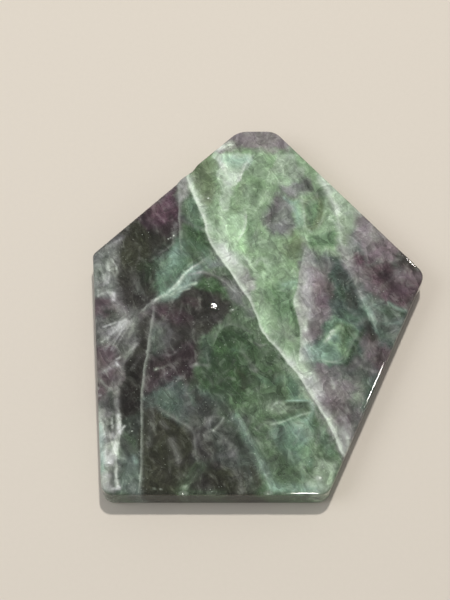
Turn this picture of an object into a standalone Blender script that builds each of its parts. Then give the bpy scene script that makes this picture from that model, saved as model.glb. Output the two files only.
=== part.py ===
"""A polished fluorite slab: a five-sided plate of banded green and purple fluorite, lying flat.

Metres, +Z up. The origin is at the centre of the slab's bounding box, on its flat underside.
+Y points to the rounded apex, and the straight front edge is at -Y.
"""

import math

import bmesh
import bpy
from mathutils import Vector

MM = 0.001

THICKNESS = 8.0 * MM
TOP_EDGE_RADIUS = 1.0 * MM
BOTTOM_EDGE_RADIUS = 0.8 * MM
EDGE_SEGMENTS = 4
ARC_STEP = math.radians(7.0)
WELD_DISTANCE = 0.01 * MM
FLAT_ANGLE = math.radians(0.5)

# Corners of the outline before they are rounded, clockwise from the left: x, y and the radius, in mm.
LEFT_CORNER = (-42.45, 14.15, 1.9)
SAWN_STEP_START = (-20.9, 34.55, 2.0)
SAWN_STEP_END = (-19.9, 35.95, 3.0)
SHOULDER_START = (-16.7, 38.4, 2.0)
SHOULDER_END = (-15.4, 40.35, 3.0)
APEX_LEFT = (-4.5, 50.45, 6.0)
APEX_RIGHT = (5.35, 50.45, 5.0)
RIGHT_CORNER = (43.7, 8.55, 3.4)
FRONT_RIGHT_CORNER = (17.1, -50.45, 3.6)
FRONT_LEFT_CORNER = (-38.35, -50.45, 3.2)
CORNERS = (
    LEFT_CORNER,
    SAWN_STEP_START,
    SAWN_STEP_END,
    SHOULDER_START,
    SHOULDER_END,
    APEX_LEFT,
    APEX_RIGHT,
    RIGHT_CORNER,
    FRONT_RIGHT_CORNER,
    FRONT_LEFT_CORNER,
)

# Small shell-shaped chips in the top edge, each the bite of a ball: x and y on the outline, the
# ball's radius, and how deep it bites, in mm.
APEX_CHIP = (-9.4, 45.7, 3.2, 0.45)
FRONT_CHIP_RIGHT = (2.6, -50.45, 2.0, 0.40)
FRONT_CHIP_MIDDLE = (-18.2, -50.45, 2.4, 0.35)
CHIPS = {
    "apex_chip": APEX_CHIP,
    "front_chip_right": FRONT_CHIP_RIGHT,
    "front_chip_middle": FRONT_CHIP_MIDDLE,
}
# Each ball's centre lies out from the top edge along this slope, up and away from the slab.
CHIP_SLOPE = math.radians(50.0)

FLUORITE_COLOR = (0.125, 0.215, 0.140, 1.0)
FLUORITE_IOR = 1.434


def clear_scene():
    for obj in list(bpy.data.objects):
        bpy.data.objects.remove(obj, do_unlink=True)


def new_collection(name):
    collection = bpy.data.collections.new(name)
    bpy.context.scene.collection.children.link(collection)
    return collection


def rounded_corner(before, corner, after, radius):
    """Points of the arc that touches both sides of a corner, from the first side to the second."""
    to_before = (before - corner).normalized()
    to_after = (after - corner).normalized()
    half_angle = to_before.angle(to_after) / 2
    centre = corner + (to_before + to_after).normalized() * (radius / math.sin(half_angle))
    start = corner + to_before * (radius / math.tan(half_angle)) - centre
    turned = math.pi - 2 * half_angle
    side = -1.0 if to_before.cross(to_after) > 0 else 1.0
    steps = max(2, math.ceil(turned / ARC_STEP))
    points = []
    for i in range(steps + 1):
        angle = side * turned * i / steps
        cos, sin = math.cos(angle), math.sin(angle)
        points.append(centre + Vector((start.x * cos - start.y * sin, start.x * sin + start.y * cos)))
    return points


def centred_outline():
    """The rounded outline in metres, its box centred on the origin, and the shift that did that."""
    corners = [Vector((x, y)) * MM for x, y, _ in CORNERS]
    radii = [radius * MM for _, _, radius in CORNERS]
    points = []
    for i, corner in enumerate(corners):
        points += rounded_corner(corners[i - 1], corner, corners[(i + 1) % len(corners)], radii[i])
    xs = [point.x for point in points]
    ys = [point.y for point in points]
    shift = -Vector(((min(xs) + max(xs)) / 2, (min(ys) + max(ys)) / 2))
    return [point + shift for point in points], shift


def plate_mesh(name, points):
    """The outline as a flat plate, made from a filled 2D curve. Its caps are still loose."""
    curve = bpy.data.curves.new(name + "_outline", "CURVE")
    curve.dimensions = "2D"
    curve.fill_mode = "BOTH"
    curve.extrude = THICKNESS / 2
    spline = curve.splines.new("POLY")
    spline.points.add(len(points) - 1)
    for spline_point, point in zip(spline.points, points):
        spline_point.co = (point.x, point.y, 0.0, 1.0)
    spline.use_cyclic_u = True
    outline = bpy.data.objects.new(name + "_outline", curve)
    bpy.context.scene.collection.objects.link(outline)
    evaluated = outline.evaluated_get(bpy.context.evaluated_depsgraph_get())
    mesh = bpy.data.meshes.new_from_object(evaluated)
    mesh.name = name
    bpy.data.objects.remove(outline, do_unlink=True)
    bpy.data.curves.remove(curve)
    return mesh


def weld_and_mark_edges(mesh):
    """Welds the caps to the sides, lifts the plate onto z = 0 and weights the edges to be rounded."""
    plate = bmesh.new()
    plate.from_mesh(mesh)
    bmesh.ops.remove_doubles(plate, verts=plate.verts, dist=WELD_DISTANCE)
    bmesh.ops.dissolve_limit(plate, angle_limit=FLAT_ANGLE, verts=plate.verts, edges=plate.edges)
    bmesh.ops.translate(plate, verts=plate.verts, vec=(0, 0, THICKNESS / 2))
    bmesh.ops.recalc_face_normals(plate, faces=plate.faces)
    weights = plate.edges.layers.float.new("bevel_weight_edge")
    for edge in plate.edges:
        heights = [vert.co.z for vert in edge.verts]
        if min(heights) > THICKNESS / 2:
            edge[weights] = 1.0
        elif max(heights) < THICKNESS / 2:
            edge[weights] = BOTTOM_EDGE_RADIUS / TOP_EDGE_RADIUS
    plate.to_mesh(mesh)
    plate.free()


def round_edges(slab):
    bevel = slab.modifiers.new("rounded edges", "BEVEL")
    bevel.limit_method = "WEIGHT"
    bevel.offset_type = "OFFSET"
    bevel.width = TOP_EDGE_RADIUS
    bevel.segments = EDGE_SEGMENTS
    bevel.use_clamp_overlap = False


def nearest_on_outline(points, place):
    """The outline's point nearest to a place, and the level direction out of the slab there."""
    nearest, outward = None, None
    for i, end in enumerate(points):
        start = points[i - 1]
        along = end - start
        share = max(0.0, min(1.0, (place - start).dot(along) / along.length_squared))
        point = start + along * share
        if nearest is None or (point - place).length < (nearest - place).length:
            nearest = point
            outward = Vector((-along.y, along.x)).normalized()
    return nearest, outward if outward.dot(nearest) > 0 else -outward


def add_chip(slab, name, chip, points, shift, cutters):
    """Cuts one chip: a ball whose surface bites into the rounded top edge."""
    x, y, radius, depth = (value * MM for value in chip)
    side_point, outward = nearest_on_outline(points, Vector((x, y)) + shift)
    away = (outward * math.cos(CHIP_SLOPE)).to_3d() + Vector((0, 0, math.sin(CHIP_SLOPE)))
    round_axis = (side_point - outward * TOP_EDGE_RADIUS).to_3d()
    round_axis.z = THICKNESS - TOP_EDGE_RADIUS
    edge_point = round_axis + away * TOP_EDGE_RADIUS
    ball = bmesh.new()
    bmesh.ops.create_icosphere(ball, subdivisions=4, radius=radius)
    mesh = bpy.data.meshes.new(name)
    ball.to_mesh(mesh)
    ball.free()
    cutter = bpy.data.objects.new(name, mesh)
    cutter.location = edge_point + away * (radius - depth)
    cutter.hide_render = True
    cutter.display_type = "WIRE"
    cutters.objects.link(cutter)
    cut = slab.modifiers.new(name, "BOOLEAN")
    cut.operation = "DIFFERENCE"
    cut.solver = "EXACT"
    cut.object = cutter


def fluorite_material():
    material = bpy.data.materials.new("polished fluorite")
    material.use_nodes = True
    shader = material.node_tree.nodes["Principled BSDF"]
    shader.inputs["Base Color"].default_value = FLUORITE_COLOR
    shader.inputs["Metallic"].default_value = 0.0
    shader.inputs["Roughness"].default_value = 0.06
    shader.inputs["IOR"].default_value = FLUORITE_IOR
    shader.inputs["Transmission Weight"].default_value = 0.5
    return material


def main():
    clear_scene()
    parts = new_collection("fluorite pentagon")
    cutters = new_collection("fluorite pentagon cutters")
    points, shift = centred_outline()
    mesh = plate_mesh("fluorite_slab", points)
    weld_and_mark_edges(mesh)
    slab = bpy.data.objects.new("fluorite_slab", mesh)
    parts.objects.link(slab)
    mesh.materials.clear()
    mesh.materials.append(fluorite_material())
    round_edges(slab)
    for name, chip in CHIPS.items():
        add_chip(slab, name, chip, points, shift, cutters)
    mesh.shade_smooth()


main()
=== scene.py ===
"""Polished slab of banded green and purple fluorite, lying on a pale studio floor.

The slab is one crystal, clear where it grew clean and milky where old cracks healed. Its body is a
fine mesh around the frame's outline. Growth zones, healed cracks and wisps of cloud are laid out in
plan in millimetres, lean as they go down into the stone, and are stored on the mesh for its material.
"""

import math
import random
from typing import NamedTuple

import bmesh
import bpy
import numpy as np
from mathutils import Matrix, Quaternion, Vector, geometry, noise


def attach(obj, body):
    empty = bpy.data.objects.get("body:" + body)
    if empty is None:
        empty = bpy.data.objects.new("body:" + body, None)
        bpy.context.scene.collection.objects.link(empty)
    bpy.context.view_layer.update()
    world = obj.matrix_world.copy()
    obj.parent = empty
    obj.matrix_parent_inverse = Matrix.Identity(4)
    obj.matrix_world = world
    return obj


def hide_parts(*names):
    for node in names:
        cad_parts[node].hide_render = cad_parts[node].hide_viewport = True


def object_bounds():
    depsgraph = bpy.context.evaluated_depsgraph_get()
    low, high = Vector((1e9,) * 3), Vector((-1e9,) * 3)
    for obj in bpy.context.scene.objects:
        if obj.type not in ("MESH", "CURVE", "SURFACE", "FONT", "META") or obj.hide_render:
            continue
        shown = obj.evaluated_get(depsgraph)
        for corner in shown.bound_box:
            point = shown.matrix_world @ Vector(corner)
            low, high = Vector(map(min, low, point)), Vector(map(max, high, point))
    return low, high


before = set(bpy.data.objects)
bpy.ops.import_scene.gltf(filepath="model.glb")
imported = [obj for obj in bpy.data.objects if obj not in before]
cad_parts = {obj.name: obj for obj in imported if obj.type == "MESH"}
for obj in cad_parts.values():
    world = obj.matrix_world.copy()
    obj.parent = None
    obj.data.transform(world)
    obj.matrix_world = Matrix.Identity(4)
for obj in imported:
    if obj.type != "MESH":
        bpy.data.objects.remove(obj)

bl_info = {
    "name": "Polished Fluorite Slab",
    "version": (1, 0, 0),
    "blender": (4, 5, 0),
    "location": "3D View > Sidebar > Fluorite",
    "description": "Builds a polished slab of banded fluorite with its healed cracks and a small studio",
    "category": "Add Mesh",
}

CAD_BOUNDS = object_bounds()
CAD_SLAB = "fluorite_slab"
BODY = "root"

MM = 0.001


# ---------------------------------------------------------------- the outline, in mm


class Corner(NamedTuple):
    """A corner of the outline before it is rounded."""

    x: float
    y: float
    radius: float


# Clockwise from the left, as the frame's slab has them.
CORNERS = {
    "left corner": Corner(-42.45, 14.15, 1.9),
    "sawn step, start": Corner(-20.9, 34.55, 2.0),
    "sawn step, end": Corner(-19.9, 35.95, 3.0),
    "shoulder, start": Corner(-16.7, 38.4, 2.0),
    "shoulder, end": Corner(-15.4, 40.35, 3.0),
    "apex, left": Corner(-4.5, 50.45, 6.0),
    "apex, right": Corner(5.35, 50.45, 5.0),
    "right corner": Corner(43.7, 8.55, 3.4),
    "front right corner": Corner(17.1, -50.45, 3.6),
    "front left corner": Corner(-38.35, -50.45, 3.2),
}
THICKNESS = 8.0
ARC_STEP = math.radians(3.0)


class Chip(NamedTuple):
    """A shell-shaped chip in the rounded top edge: the bite of a ball."""

    x: float
    y: float
    radius: float
    depth: float


CHIPS = {
    "beside the apex": Chip(-9.7, 45.7, 3.2, 0.45),
    "front edge, right": Chip(2.3, -50.45, 2.0, 0.40),
    "front edge, middle": Chip(-18.5, -50.45, 2.4, 0.35),
}
CHIP_SLOPE = math.radians(50.0)


# ---------------------------------------------------------------- colours


def linear(hex_colour):
    """An sRGB hex colour such as "#8fa27c" as linear red, green and blue."""
    values = [int(hex_colour[i : i + 2], 16) / 255 for i in (1, 3, 5)]
    return tuple(v / 12.92 if v <= 0.04045 else ((v + 0.055) / 1.055) ** 2.4 for v in values)


def colour_property(name, hex_colour, description):
    return bpy.props.FloatVectorProperty(
        name=name, description=description, default=linear(hex_colour), min=0.0, max=1.0, size=3,
        subtype="COLOR",
    )


class FluoriteColours(bpy.types.PropertyGroup):
    """The stone's own colours, from the clearest and darkest to the milkiest."""

    ink: colour_property("Ink", "#403d3a", "The clearest stone, black with its own depth")
    smoke_black: colour_property("Smoke black", "#55544f", "Clear stone that shows little but depth")
    olive_black: colour_property("Olive black", "#545648", "Clear, faintly yellow-green stone")
    night_purple: colour_property("Night purple", "#5a4d52", "Clear stone with purple in it")
    wine_purple: colour_property("Wine purple", "#745a67", "The strongest purple")
    slate: colour_property("Slate", "#585f59", "Dark stone with a little cloud")
    deep_teal: colour_property("Deep teal", "#60726a", "Dark stone with cool green in it")
    forest: colour_property("Forest green", "#496048", "The darkest green")
    fern: colour_property("Fern green", "#577353", "Dark, clean green")
    moss: colour_property("Moss green", "#6c8468", "Dark green with a little cloud")
    sea_green: colour_property("Sea green", "#7a9983", "Cool green, half cloudy")
    fog: colour_property("Fog", "#6d6e6c", "Grey cloud over dark stone")
    plum: colour_property("Plum", "#776a6e", "Purple under thin cloud")
    teal_grey: colour_property("Teal grey", "#707e76", "Cool grey-green cloud")
    mauve: colour_property("Mauve", "#8a7c83", "Purple under half-thick cloud")
    mist: colour_property("Mist", "#8b908d", "Grey cloud, half thick")
    lilac_grey: colour_property("Lilac grey", "#948e90", "Purple under thick cloud")
    olive: colour_property("Olive green", "#889b7a", "Mid green turned to yellow")
    grass: colour_property("Grass green", "#7f9f7c", "Clean mid green")
    leaf: colour_property("Leaf green", "#9bb795", "Light green, cloudy")
    sage: colour_property("Sage", "#a6baa2", "Pale green, cloudy")
    ash: colour_property("Ash", "#a4a6a3", "Pale grey cloud")
    teal_milk: colour_property("Teal milk", "#a4c3b5", "Thick cloud with cool green in it")
    mint: colour_property("Mint", "#b7dbb1", "The brightest green cloud")
    milk_green: colour_property("Milk green", "#c4d8c3", "Thick cloud with green in it")
    pearl: colour_property("Pearl", "#dde1e0", "Thick white cloud with no green in it")
    milk: colour_property("Milk white", "#dde8dd", "Thick white cloud")


# How see-through stone of each colour is: 0 for thick cloud, 1 for clear.
CLARITY = {
    "ink": 0.66,
    "smoke_black": 0.62,
    "olive_black": 0.62,
    "night_purple": 0.60,
    "wine_purple": 0.52,
    "slate": 0.52,
    "deep_teal": 0.48,
    "forest": 0.52,
    "fern": 0.48,
    "moss": 0.46,
    "sea_green": 0.40,
    "fog": 0.36,
    "plum": 0.40,
    "teal_grey": 0.36,
    "mauve": 0.32,
    "mist": 0.30,
    "lilac_grey": 0.30,
    "olive": 0.36,
    "grass": 0.36,
    "leaf": 0.30,
    "sage": 0.25,
    "ash": 0.20,
    "teal_milk": 0.18,
    "mint": 0.20,
    "milk_green": 0.14,
    "pearl": 0.08,
    "milk": 0.06,
}


# ---------------------------------------------------------------- growth zones, in mm


class Zone(NamedTuple):
    """A patch of one colour: how wide its edge is, and its corners."""

    colour: str
    edge: float
    outline: tuple


# The main healed crack, from the back to the front. It parts the dark side from the bright one.
MAIN_CRACK = (
    (-19.2, 38.4), (-18.4, 36), (-17, 31.2), (-15, 26.6), (-13.6, 23.2), (-13.4, 20.6), (-12, 16.6),
    (-10.5, 14), (-8.4, 11.2), (-4.8, 5), (-2.6, 1.8), (-0.9, -1.4), (0, -4.4), (0.5, -7), (2.4, -9.6),
    (4.8, -12.2), (6.2, -14.4), (9.2, -18.2), (12.5, -23.4), (14.5, -27.2), (16.4, -30.4),
    (18.6, -35.2), (20.4, -39.6), (21.8, -42.4),
)

# In the order they are laid over each other.
ZONES = {
    "purple wedge": Zone("night_purple", 2.6, (
        (-34.2, 26), (-20.2, 36), (-20.7, 20), (-23.7, 18), (-28.2, 19), (-31.7, 22),
    )),
    "purple of the wedge": Zone("wine_purple", 3, (
        (-28.6, 26.4), (-24.4, 30.4), (-21.2, 34), (-21.4, 27), (-24.6, 22), (-28, 22.6),
    )),
    "smoky patch": Zone("smoke_black", 2.4, (
        (-30.5, 20.5), (-24, 19.5), (-22.5, 16.5), (-26, 14), (-30, 15),
    )),
    "lower green field": Zone("moss", 3.2, (
        (-14.2, -6), (-7.2, 0), (-2.2, 3), (3.4, -5), (25, -43), (23.8, -53), (-0.2, -53), (-4.2, -40),
        (-8.2, -30), (-14.2, -24), (-17.2, -16),
    )),
    "upper left field": Zone("moss", 2.6, (
        (-21.2, 37), (-18.2, 40), (-12.2, 22), (-6.2, 9), (-3.2, 3), (-8.2, 7), (-14.2, 10), (-19.2, 8),
    )),
    "green beside the strip": Zone("moss", 1.8, (
        (-20.7, 33), (-17.7, 31), (-14.7, 23), (-12.7, 19), (-13.2, 14.5), (-16.2, 12.5), (-19.2, 15),
        (-20.2, 19.5),
    )),
    "dark beside the strip": Zone("fern", 2.8, (
        (-19.7, 24.5), (-14.2, 22.5), (-12.7, 18), (-12.2, 14), (-16.2, 15.5), (-19.7, 18),
    )),
    "lilac strip top": Zone("ash", 2, ((-21, 36), (-18.6, 38), (-17.8, 33), (-19, 30.4), (-20.6, 29.4))),
    "left olive": Zone("olive_black", 2.4, (
        (-36.7, 17.5), (-31.7, 24), (-28.4, 20), (-26.8, 14.5), (-28.4, 10.5), (-31.4, 8.4), (-36.2, 9.6),
    )),
    "left smoke": Zone("smoke_black", 3, (
        (-36, 9.4), (-31, 9), (-27.4, 10), (-27.6, 4.6), (-29.6, 0.6), (-34.2, 1.8),
    )),
    "left sea green": Zone("sea_green", 4.2, (
        (-25.4, 13.5), (-21, 18.5), (-18.4, 14.5), (-18.9, 9), (-22.6, 6), (-26.2, 3), (-27, 6),
        (-25.8, 9.5),
    )),
    "smoky middle": Zone("smoke_black", 2.4, (
        (-27.7, 0.5), (-21.2, 4), (-16.7, 7), (-13.2, 6), (-9.6, 3.2), (-7.2, 0.5), (-6.6, -2.2), (-9, -5),
        (-12.4, -8.5), (-16, -12), (-19.7, -14), (-24.2, -18), (-28.2, -20.5), (-28.7, -16), (-27.2, -7),
    )),
    "dark green under the branch": Zone("fern", 2.6, (
        (-17.2, 5), (-14.7, 8), (-11.2, 8), (-7.7, 5), (-7.2, 1), (-11.2, 2.5),
    )),
    "smoky purple": Zone("night_purple", 3, (
        (-27.7, -13), (-22.2, -12.5), (-15.5, -10), (-14.5, -16), (-18, -20.4), (-22, -22.4), (-26, -24.8),
        (-28.8, -25.6),
    )),
    "grey-green spot": Zone("fog", 3, (
        (-27.7, -5), (-23.2, -4.5), (-20.7, -8.5), (-22.2, -12.5), (-27.2, -12.5),
    )),
    "branch haze": Zone("teal_grey", 2.8, (
        (-24.2, 2), (-19.2, 7.5), (-14.2, 12), (-9.2, 14.5), (-8.2, 11), (-13.2, 9.5), (-17.2, 5),
        (-21.2, 1.5),
    )),
    "haze beside the main vein": Zone("mist", 2.8, (
        (-9.2, 6), (-5.2, 6), (-2.2, 2.5), (-1.2, -1), (-4.2, -0.5), (-7.7, 2),
    )),
    "left cloud": Zone("fog", 1.6, (
        (-46.2, 14), (-38.2, 20), (-34.7, 19.5), (-36.2, 14.5), (-36.7, 9), (-35.2, 4), (-33.7, -0.5),
        (-30.7, -5), (-29.7, -11.5), (-32.7, -15), (-34.2, -20.5), (-35.2, -26.5), (-34.2, -30.5),
        (-34.2, -34.5), (-34.7, -39), (-34.7, -53), (-46.2, -53),
    )),
    "left grey corner": Zone("mist", 2.4, (
        (-44.2, 13), (-37.7, 17), (-36.7, 11.5), (-37.7, 6.5), (-36.2, 2), (-44.2, 1.5),
    )),
    "left purple": Zone("plum", 2, ((-45.2, 1.5), (-37.2, 1.5), (-36.2, -2.5), (-39.2, -4), (-45.2, -3))),
    "star haze": Zone("fog", 3, (
        (-37.2, -3), (-33.2, -1), (-29.2, -1), (-30.2, -5), (-33.2, -8.5), (-38.2, -8),
    )),
    "left dark": Zone("plum", 3, (
        (-44.2, -11.5), (-37.2, -12), (-34.2, -16), (-35.2, -22), (-37.2, -26), (-44.2, -25.5),
    )),
    "left white": Zone("ash", 2.2, (
        (-44.2, -29), (-36.7, -27), (-34.7, -31), (-34.7, -35.5), (-35.2, -39.5), (-34.7, -53),
        (-44.2, -53),
    )),
    "dark strip": Zone("smoke_black", 0.7, (
        (-33.2, -15.5), (-30.2, -12), (-28.3, -6.5), (-28.9, -20), (-29.5, -29.8), (-31.4, -31.4),
        (-33, -32.2), (-34.4, -32.4), (-34.6, -30.4), (-35.2, -30), (-35.2, -26.4), (-34.9, -22.2),
        (-33.8, -20.4), (-33.8, -16.6),
    )),
    "ink of the dark strip": Zone("ink", 2.2, (
        (-33, -16.6), (-30, -14), (-29.6, -20), (-30, -29), (-34.2, -31.6), (-34.8, -26), (-34.2, -22.4),
        (-33.2, -20),
    )),
    "green strip": Zone("slate", 2, (
        (-34.2, -30.5), (-29.2, -29.5), (-28.7, -53), (-34.7, -53), (-34.7, -39),
    )),
    "grey strip": Zone("teal_grey", 3, ((-34.7, -40.5), (-29.2, -39.5), (-29.2, -53), (-34.7, -53))),
    "front dark": Zone("olive_black", 2, (
        (-28.7, -29), (-25.7, -28.5), (-20.2, -32), (-16.7, -34), (-16.2, -39), (-17.7, -44), (-19.7, -53),
        (-29.2, -53),
    )),
    "grey teal wedge": Zone("deep_teal", 2.4, (
        (-28.9, -26), (-26.4, -24.2), (-23.4, -22.2), (-20.4, -20.2), (-16.7, -24.5), (-14.2, -30),
        (-16.7, -33.5), (-20.2, -31.5), (-25.7, -28), (-28.2, -28.5),
    )),
    "grey cloud": Zone("slate", 3, (
        (-17.2, -27.5), (-10.7, -26), (-6.7, -29), (-3.2, -36.5), (0.3, -44.5), (-4.7, -46), (-11.2, -42),
        (-14.7, -44.5), (-16.2, -38.5), (-16.7, -33.5),
    )),
    "smoky front": Zone("smoke_black", 3, (
        (-17, -33), (-12.2, -34.4), (-10.8, -38.5), (-12.6, -42.6), (-16, -41),
    )),
    "green core": Zone("moss", 2.8, (
        (-13.4, -11), (-11, -6.5), (-7.4, -4.2), (-3.2, -5.6), (-0.4, -8), (3.3, -11.5), (6.8, -18),
        (10.8, -24), (7.8, -27), (2.3, -28), (-3.2, -26.5), (-8.2, -24), (-13.2, -22.5), (-16.2, -17.5),
    )),
    "dark green core": Zone("fern", 4.4, (
        (-13.6, -13), (-11, -9), (-7.6, -7.2), (-3.6, -8.4), (-0.6, -11), (0.6, -16), (-0.8, -21),
        (-3.4, -24.6), (-8.7, -25.4), (-13, -23.5), (-14.8, -18),
    )),
    "core middle": Zone("moss", 3.6, (
        (1.5, -12.5), (4.4, -16), (6.4, -20.5), (2.8, -24), (-0.6, -25.5), (-1, -19),
    )),
    "haze left of the lower vein": Zone("sea_green", 2.4, (
        (7.6, -18.5), (10.2, -20), (13.2, -26), (11.4, -27.6), (8.2, -24.6), (6.8, -21),
    )),
    "front sea green": Zone("moss", 3.2, (
        (-2.7, -28.5), (6.8, -26), (13.3, -28.5), (16.8, -32.5), (17.4, -37), (14.2, -44.5), (6.3, -46),
        (1.3, -40.5),
    )),
    "front sea cloud": Zone("sea_green", 3, (
        (4, -32.4), (10, -30.4), (13.4, -31), (13.2, -36), (13.6, -43), (10.4, -43.6), (8.4, -39.6),
        (4.8, -38),
    )),
    "front olive": Zone("olive_black", 3, ((-13.2, -44.4), (-2, -44), (0.6, -47), (-0.6, -53), (-12, -53))),
    "front middle": Zone("moss", 2.6, ((1, -44), (5, -43), (9.8, -45), (9.8, -53), (2, -53))),
    "front pale": Zone("sage", 2.8, ((14.4, -43), (18.2, -42.4), (20.8, -42), (18.3, -53), (12.3, -53))),
    "bright side": Zone("leaf", 0.35, (*MAIN_CRACK, (49.8, -20), (49.8, 15), (14.8, 56), (-10.2, 56))),
    "right ground": Zone("deep_teal", 2.6, (
        (12, -17), (10.6, -9), (9.8, 0), (10.8, 8), (12.5, 15), (20, 14), (26, 18), (34, 20), (46, 8),
        (30, -30), (23.6, -41), (18.8, -31),
    )),
    "upper left green": Zone("olive", 2.8, (
        (-18.2, 39.5), (-11.2, 46), (-10.7, 38), (-9.7, 33), (-12.7, 28), (-14.7, 28.5), (-16.7, 33.5),
    )),
    "olive green field": Zone("leaf", 3.8, (
        (-3.2, 38), (2.8, 43), (3.8, 34), (1.8, 24), (-0.2, 14), (-3.2, 16), (-2.2, 25), (-5.2, 30),
    )),
    "apex rim": Zone("lilac_grey", 2.8, (
        (-12.2, 45), (-6.7, 54), (2.3, 54), (8.8, 52), (10.8, 45), (6.8, 43.5), (2.3, 44), (-2.2, 45.5),
        (-5.2, 44.5), (-8.2, 42.5),
    )),
    "upper band": Zone("milk_green", 0.6, (
        (-11.2, 45), (-8.7, 43.2), (-5, 43.4), (-1, 43.4), (-2.6, 40.4), (-3.7, 37.6), (-4.9, 34.8),
        (-6.4, 34), (-7.2, 30.8), (-7.8, 27), (-9.8, 27), (-9.8, 31), (-9.6, 34), (-10.4, 39),
    )),
    "brightest green": Zone("mint", 1.6, (
        (-9.6, 24.5), (-7.2, 26.2), (-4.4, 25.4), (-2.9, 23), (-2.9, 19), (-2.4, 15.4), (-4.6, 13.4),
        (-7.2, 15), (-9.2, 19.5),
    )),
    "main glow, upper": Zone("milk_green", 2, (
        (-18.2, 38), (-16.7, 31), (-13.2, 23), (-11.2, 17), (-7.7, 12), (-3.2, 9.5), (-5.2, 14), (-8.7, 19),
        (-11.7, 24), (-15.2, 31),
    )),
    "main glow, middle": Zone("ash", 2.4, (
        (-8.2, 12), (-3.2, 10), (-0.2, 8), (1.3, 4), (-1.2, 0), (-4.7, 6),
    )),
    "apex sea green": Zone("sage", 1.2, (
        (2.2, 35.4), (3.6, 38.4), (5.6, 43), (9, 42.4), (12.6, 39), (11.8, 36), (9.5, 34.6), (5.4, 34.2),
    )),
    "grey patch": Zone("mist", 2.2, (
        (4.6, 31.5), (6.2, 31), (8.4, 29.5), (9.4, 26), (9.2, 22), (8.2, 18.6), (4.5, 19.2), (2, 21.6),
        (1.8, 24.6), (3, 27), (3.6, 29.4),
    )),
    "blue grey of the top": Zone("mist", 2.4, (
        (5.4, 33.4), (8, 34.4), (11, 34.6), (14.6, 36), (15.2, 33), (13, 31), (10.5, 30.2), (8.6, 29.8),
        (6.2, 31.4),
    )),
    "upper middle": Zone("olive", 3.4, ((8.4, 20.5), (12, 19.5), (12.4, 15.4), (9.6, 12.4), (6.8, 15))),
    "right lens": Zone("olive", 1.4, (
        (15.3, 32), (17.3, 32.5), (18.3, 28.5), (17.3, 25), (15.8, 21.5), (13.8, 20.5), (11.8, 22),
        (11.8, 26), (12.8, 29.5),
    )),
    "dark of the right lens": Zone("grass", 2.4, (
        (14.6, 31.4), (16.2, 31.8), (16.2, 28.4), (15, 25), (14.2, 22.2), (12.8, 23.4), (13.2, 27.6),
    )),
    "small lens": Zone("grass", 0.8, (
        (12.8, 17.6), (14.8, 19), (17.4, 19.8), (20.6, 20), (20.4, 16), (17.6, 15.2), (14.6, 15.9),
    )),
    "pale triangle": Zone("sage", 1.8, (
        (15.8, 39), (21.8, 36), (27.5, 31), (28.2, 26), (26, 20.5), (23, 17.5), (21.2, 16.5), (20.6, 24),
        (18.6, 31),
    )),
    "below the pale triangle": Zone("mist", 3, (
        (21.6, 19), (25.6, 20.5), (27.2, 17.5), (24, 13), (21.6, 13.6),
    )),
    "lilac shoulder": Zone("lilac_grey", 3, (
        (26.3, 28), (31.8, 26), (35.8, 20), (37.3, 15.5), (36.3, 11.5), (31.8, 11.5), (27.3, 15),
        (25.3, 18),
    )),
    "purple of the shoulder": Zone("mauve", 3, (
        (30, 18), (34.2, 19.6), (37.4, 15.6), (35.8, 11.6), (30.8, 11.4), (28.8, 14.6),
    )),
    "olive rim": Zone("night_purple", 3, ((37, 15.5), (43.4, 12), (40.4, 9.4), (36.6, 9.6), (35, 12.6))),
    "right sea green": Zone("teal_grey", 3.2, (
        (24.8, 5.6), (27.8, 4.5), (33.8, 1.5), (39.3, -0.5), (39.8, -6.5), (36, -12.6), (30.6, -9.4),
        (28.2, -4.5), (26.2, 0.5),
    )),
    "purple corner": Zone("plum", 3.4, (
        (22.8, 11.5), (27.3, 14.5), (30.8, 11.5), (35.8, 10.5), (40.8, 11.5), (45.8, 8.5), (43.8, 3),
        (39.3, -3.5), (35.3, -0.5), (31.3, 2), (27.3, 5), (24.3, 8.5),
    )),
    "dark of the purple corner": Zone("wine_purple", 3.6, (
        (32, 3.4), (37, 4.6), (41.8, 6.4), (41, 3), (38, -0.5), (33.6, 1),
    )),
    "purple spot": Zone("wine_purple", 2.4, (
        (25.6, 14.2), (28, 14.6), (29.2, 12.6), (27.4, 11), (25.6, 11.8),
    )),
    "purple core": Zone("wine_purple", 3.4, ((29.3, 9.5), (32.3, 11), (34.8, 9), (34.3, 6), (30.8, 5.5))),
    "dark green beside the vein": Zone("deep_teal", 3.4, (
        (19.6, 8.6), (21.4, 10), (23.2, 7), (24.8, 3.4), (26.6, -2.6), (27.6, -7), (28.4, -11.4),
        (25.4, -15), (23.6, -12.4), (24, -8), (22.4, -5.5), (20.4, -2.5), (18.8, 1), (18.8, 4.5),
    )),
    "grey above the purple": Zone("mist", 2.6, (
        (12.3, 15.5), (15.8, 14.5), (19.8, 12), (17.8, 9.5), (12.8, 9.5), (11.3, 12),
    )),
    "purple middle": Zone("lilac_grey", 2.2, (
        (11.8, 11.5), (15.3, 12), (19.3, 10), (18.3, 5), (17.8, 0.5), (18.8, -4), (15.3, -9), (11.8, -12),
        (10.8, -8.5), (10.3, -4.5), (9.3, 0), (10.3, 4), (10.3, 9),
    )),
    "purple of the middle": Zone("mauve", 3.6, (
        (13.8, 8.4), (17, 8), (18.2, 3.6), (17, -1.6), (14.6, -3), (13.2, 1), (13, 5),
    )),
    "square patch": Zone("sea_green", 0.6, (
        (19.8, -3.4), (26.2, -6.8), (21.4, -16.7), (15.4, -15.6), (13.2, -15), (12.6, -11.6), (16, -9.4),
        (18, -6),
    )),
    "green of the patch": Zone("moss", 2.6, (
        (20.8, -6), (25.4, -7), (22.8, -13), (21.2, -15.6), (20.4, -11),
    )),
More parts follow.
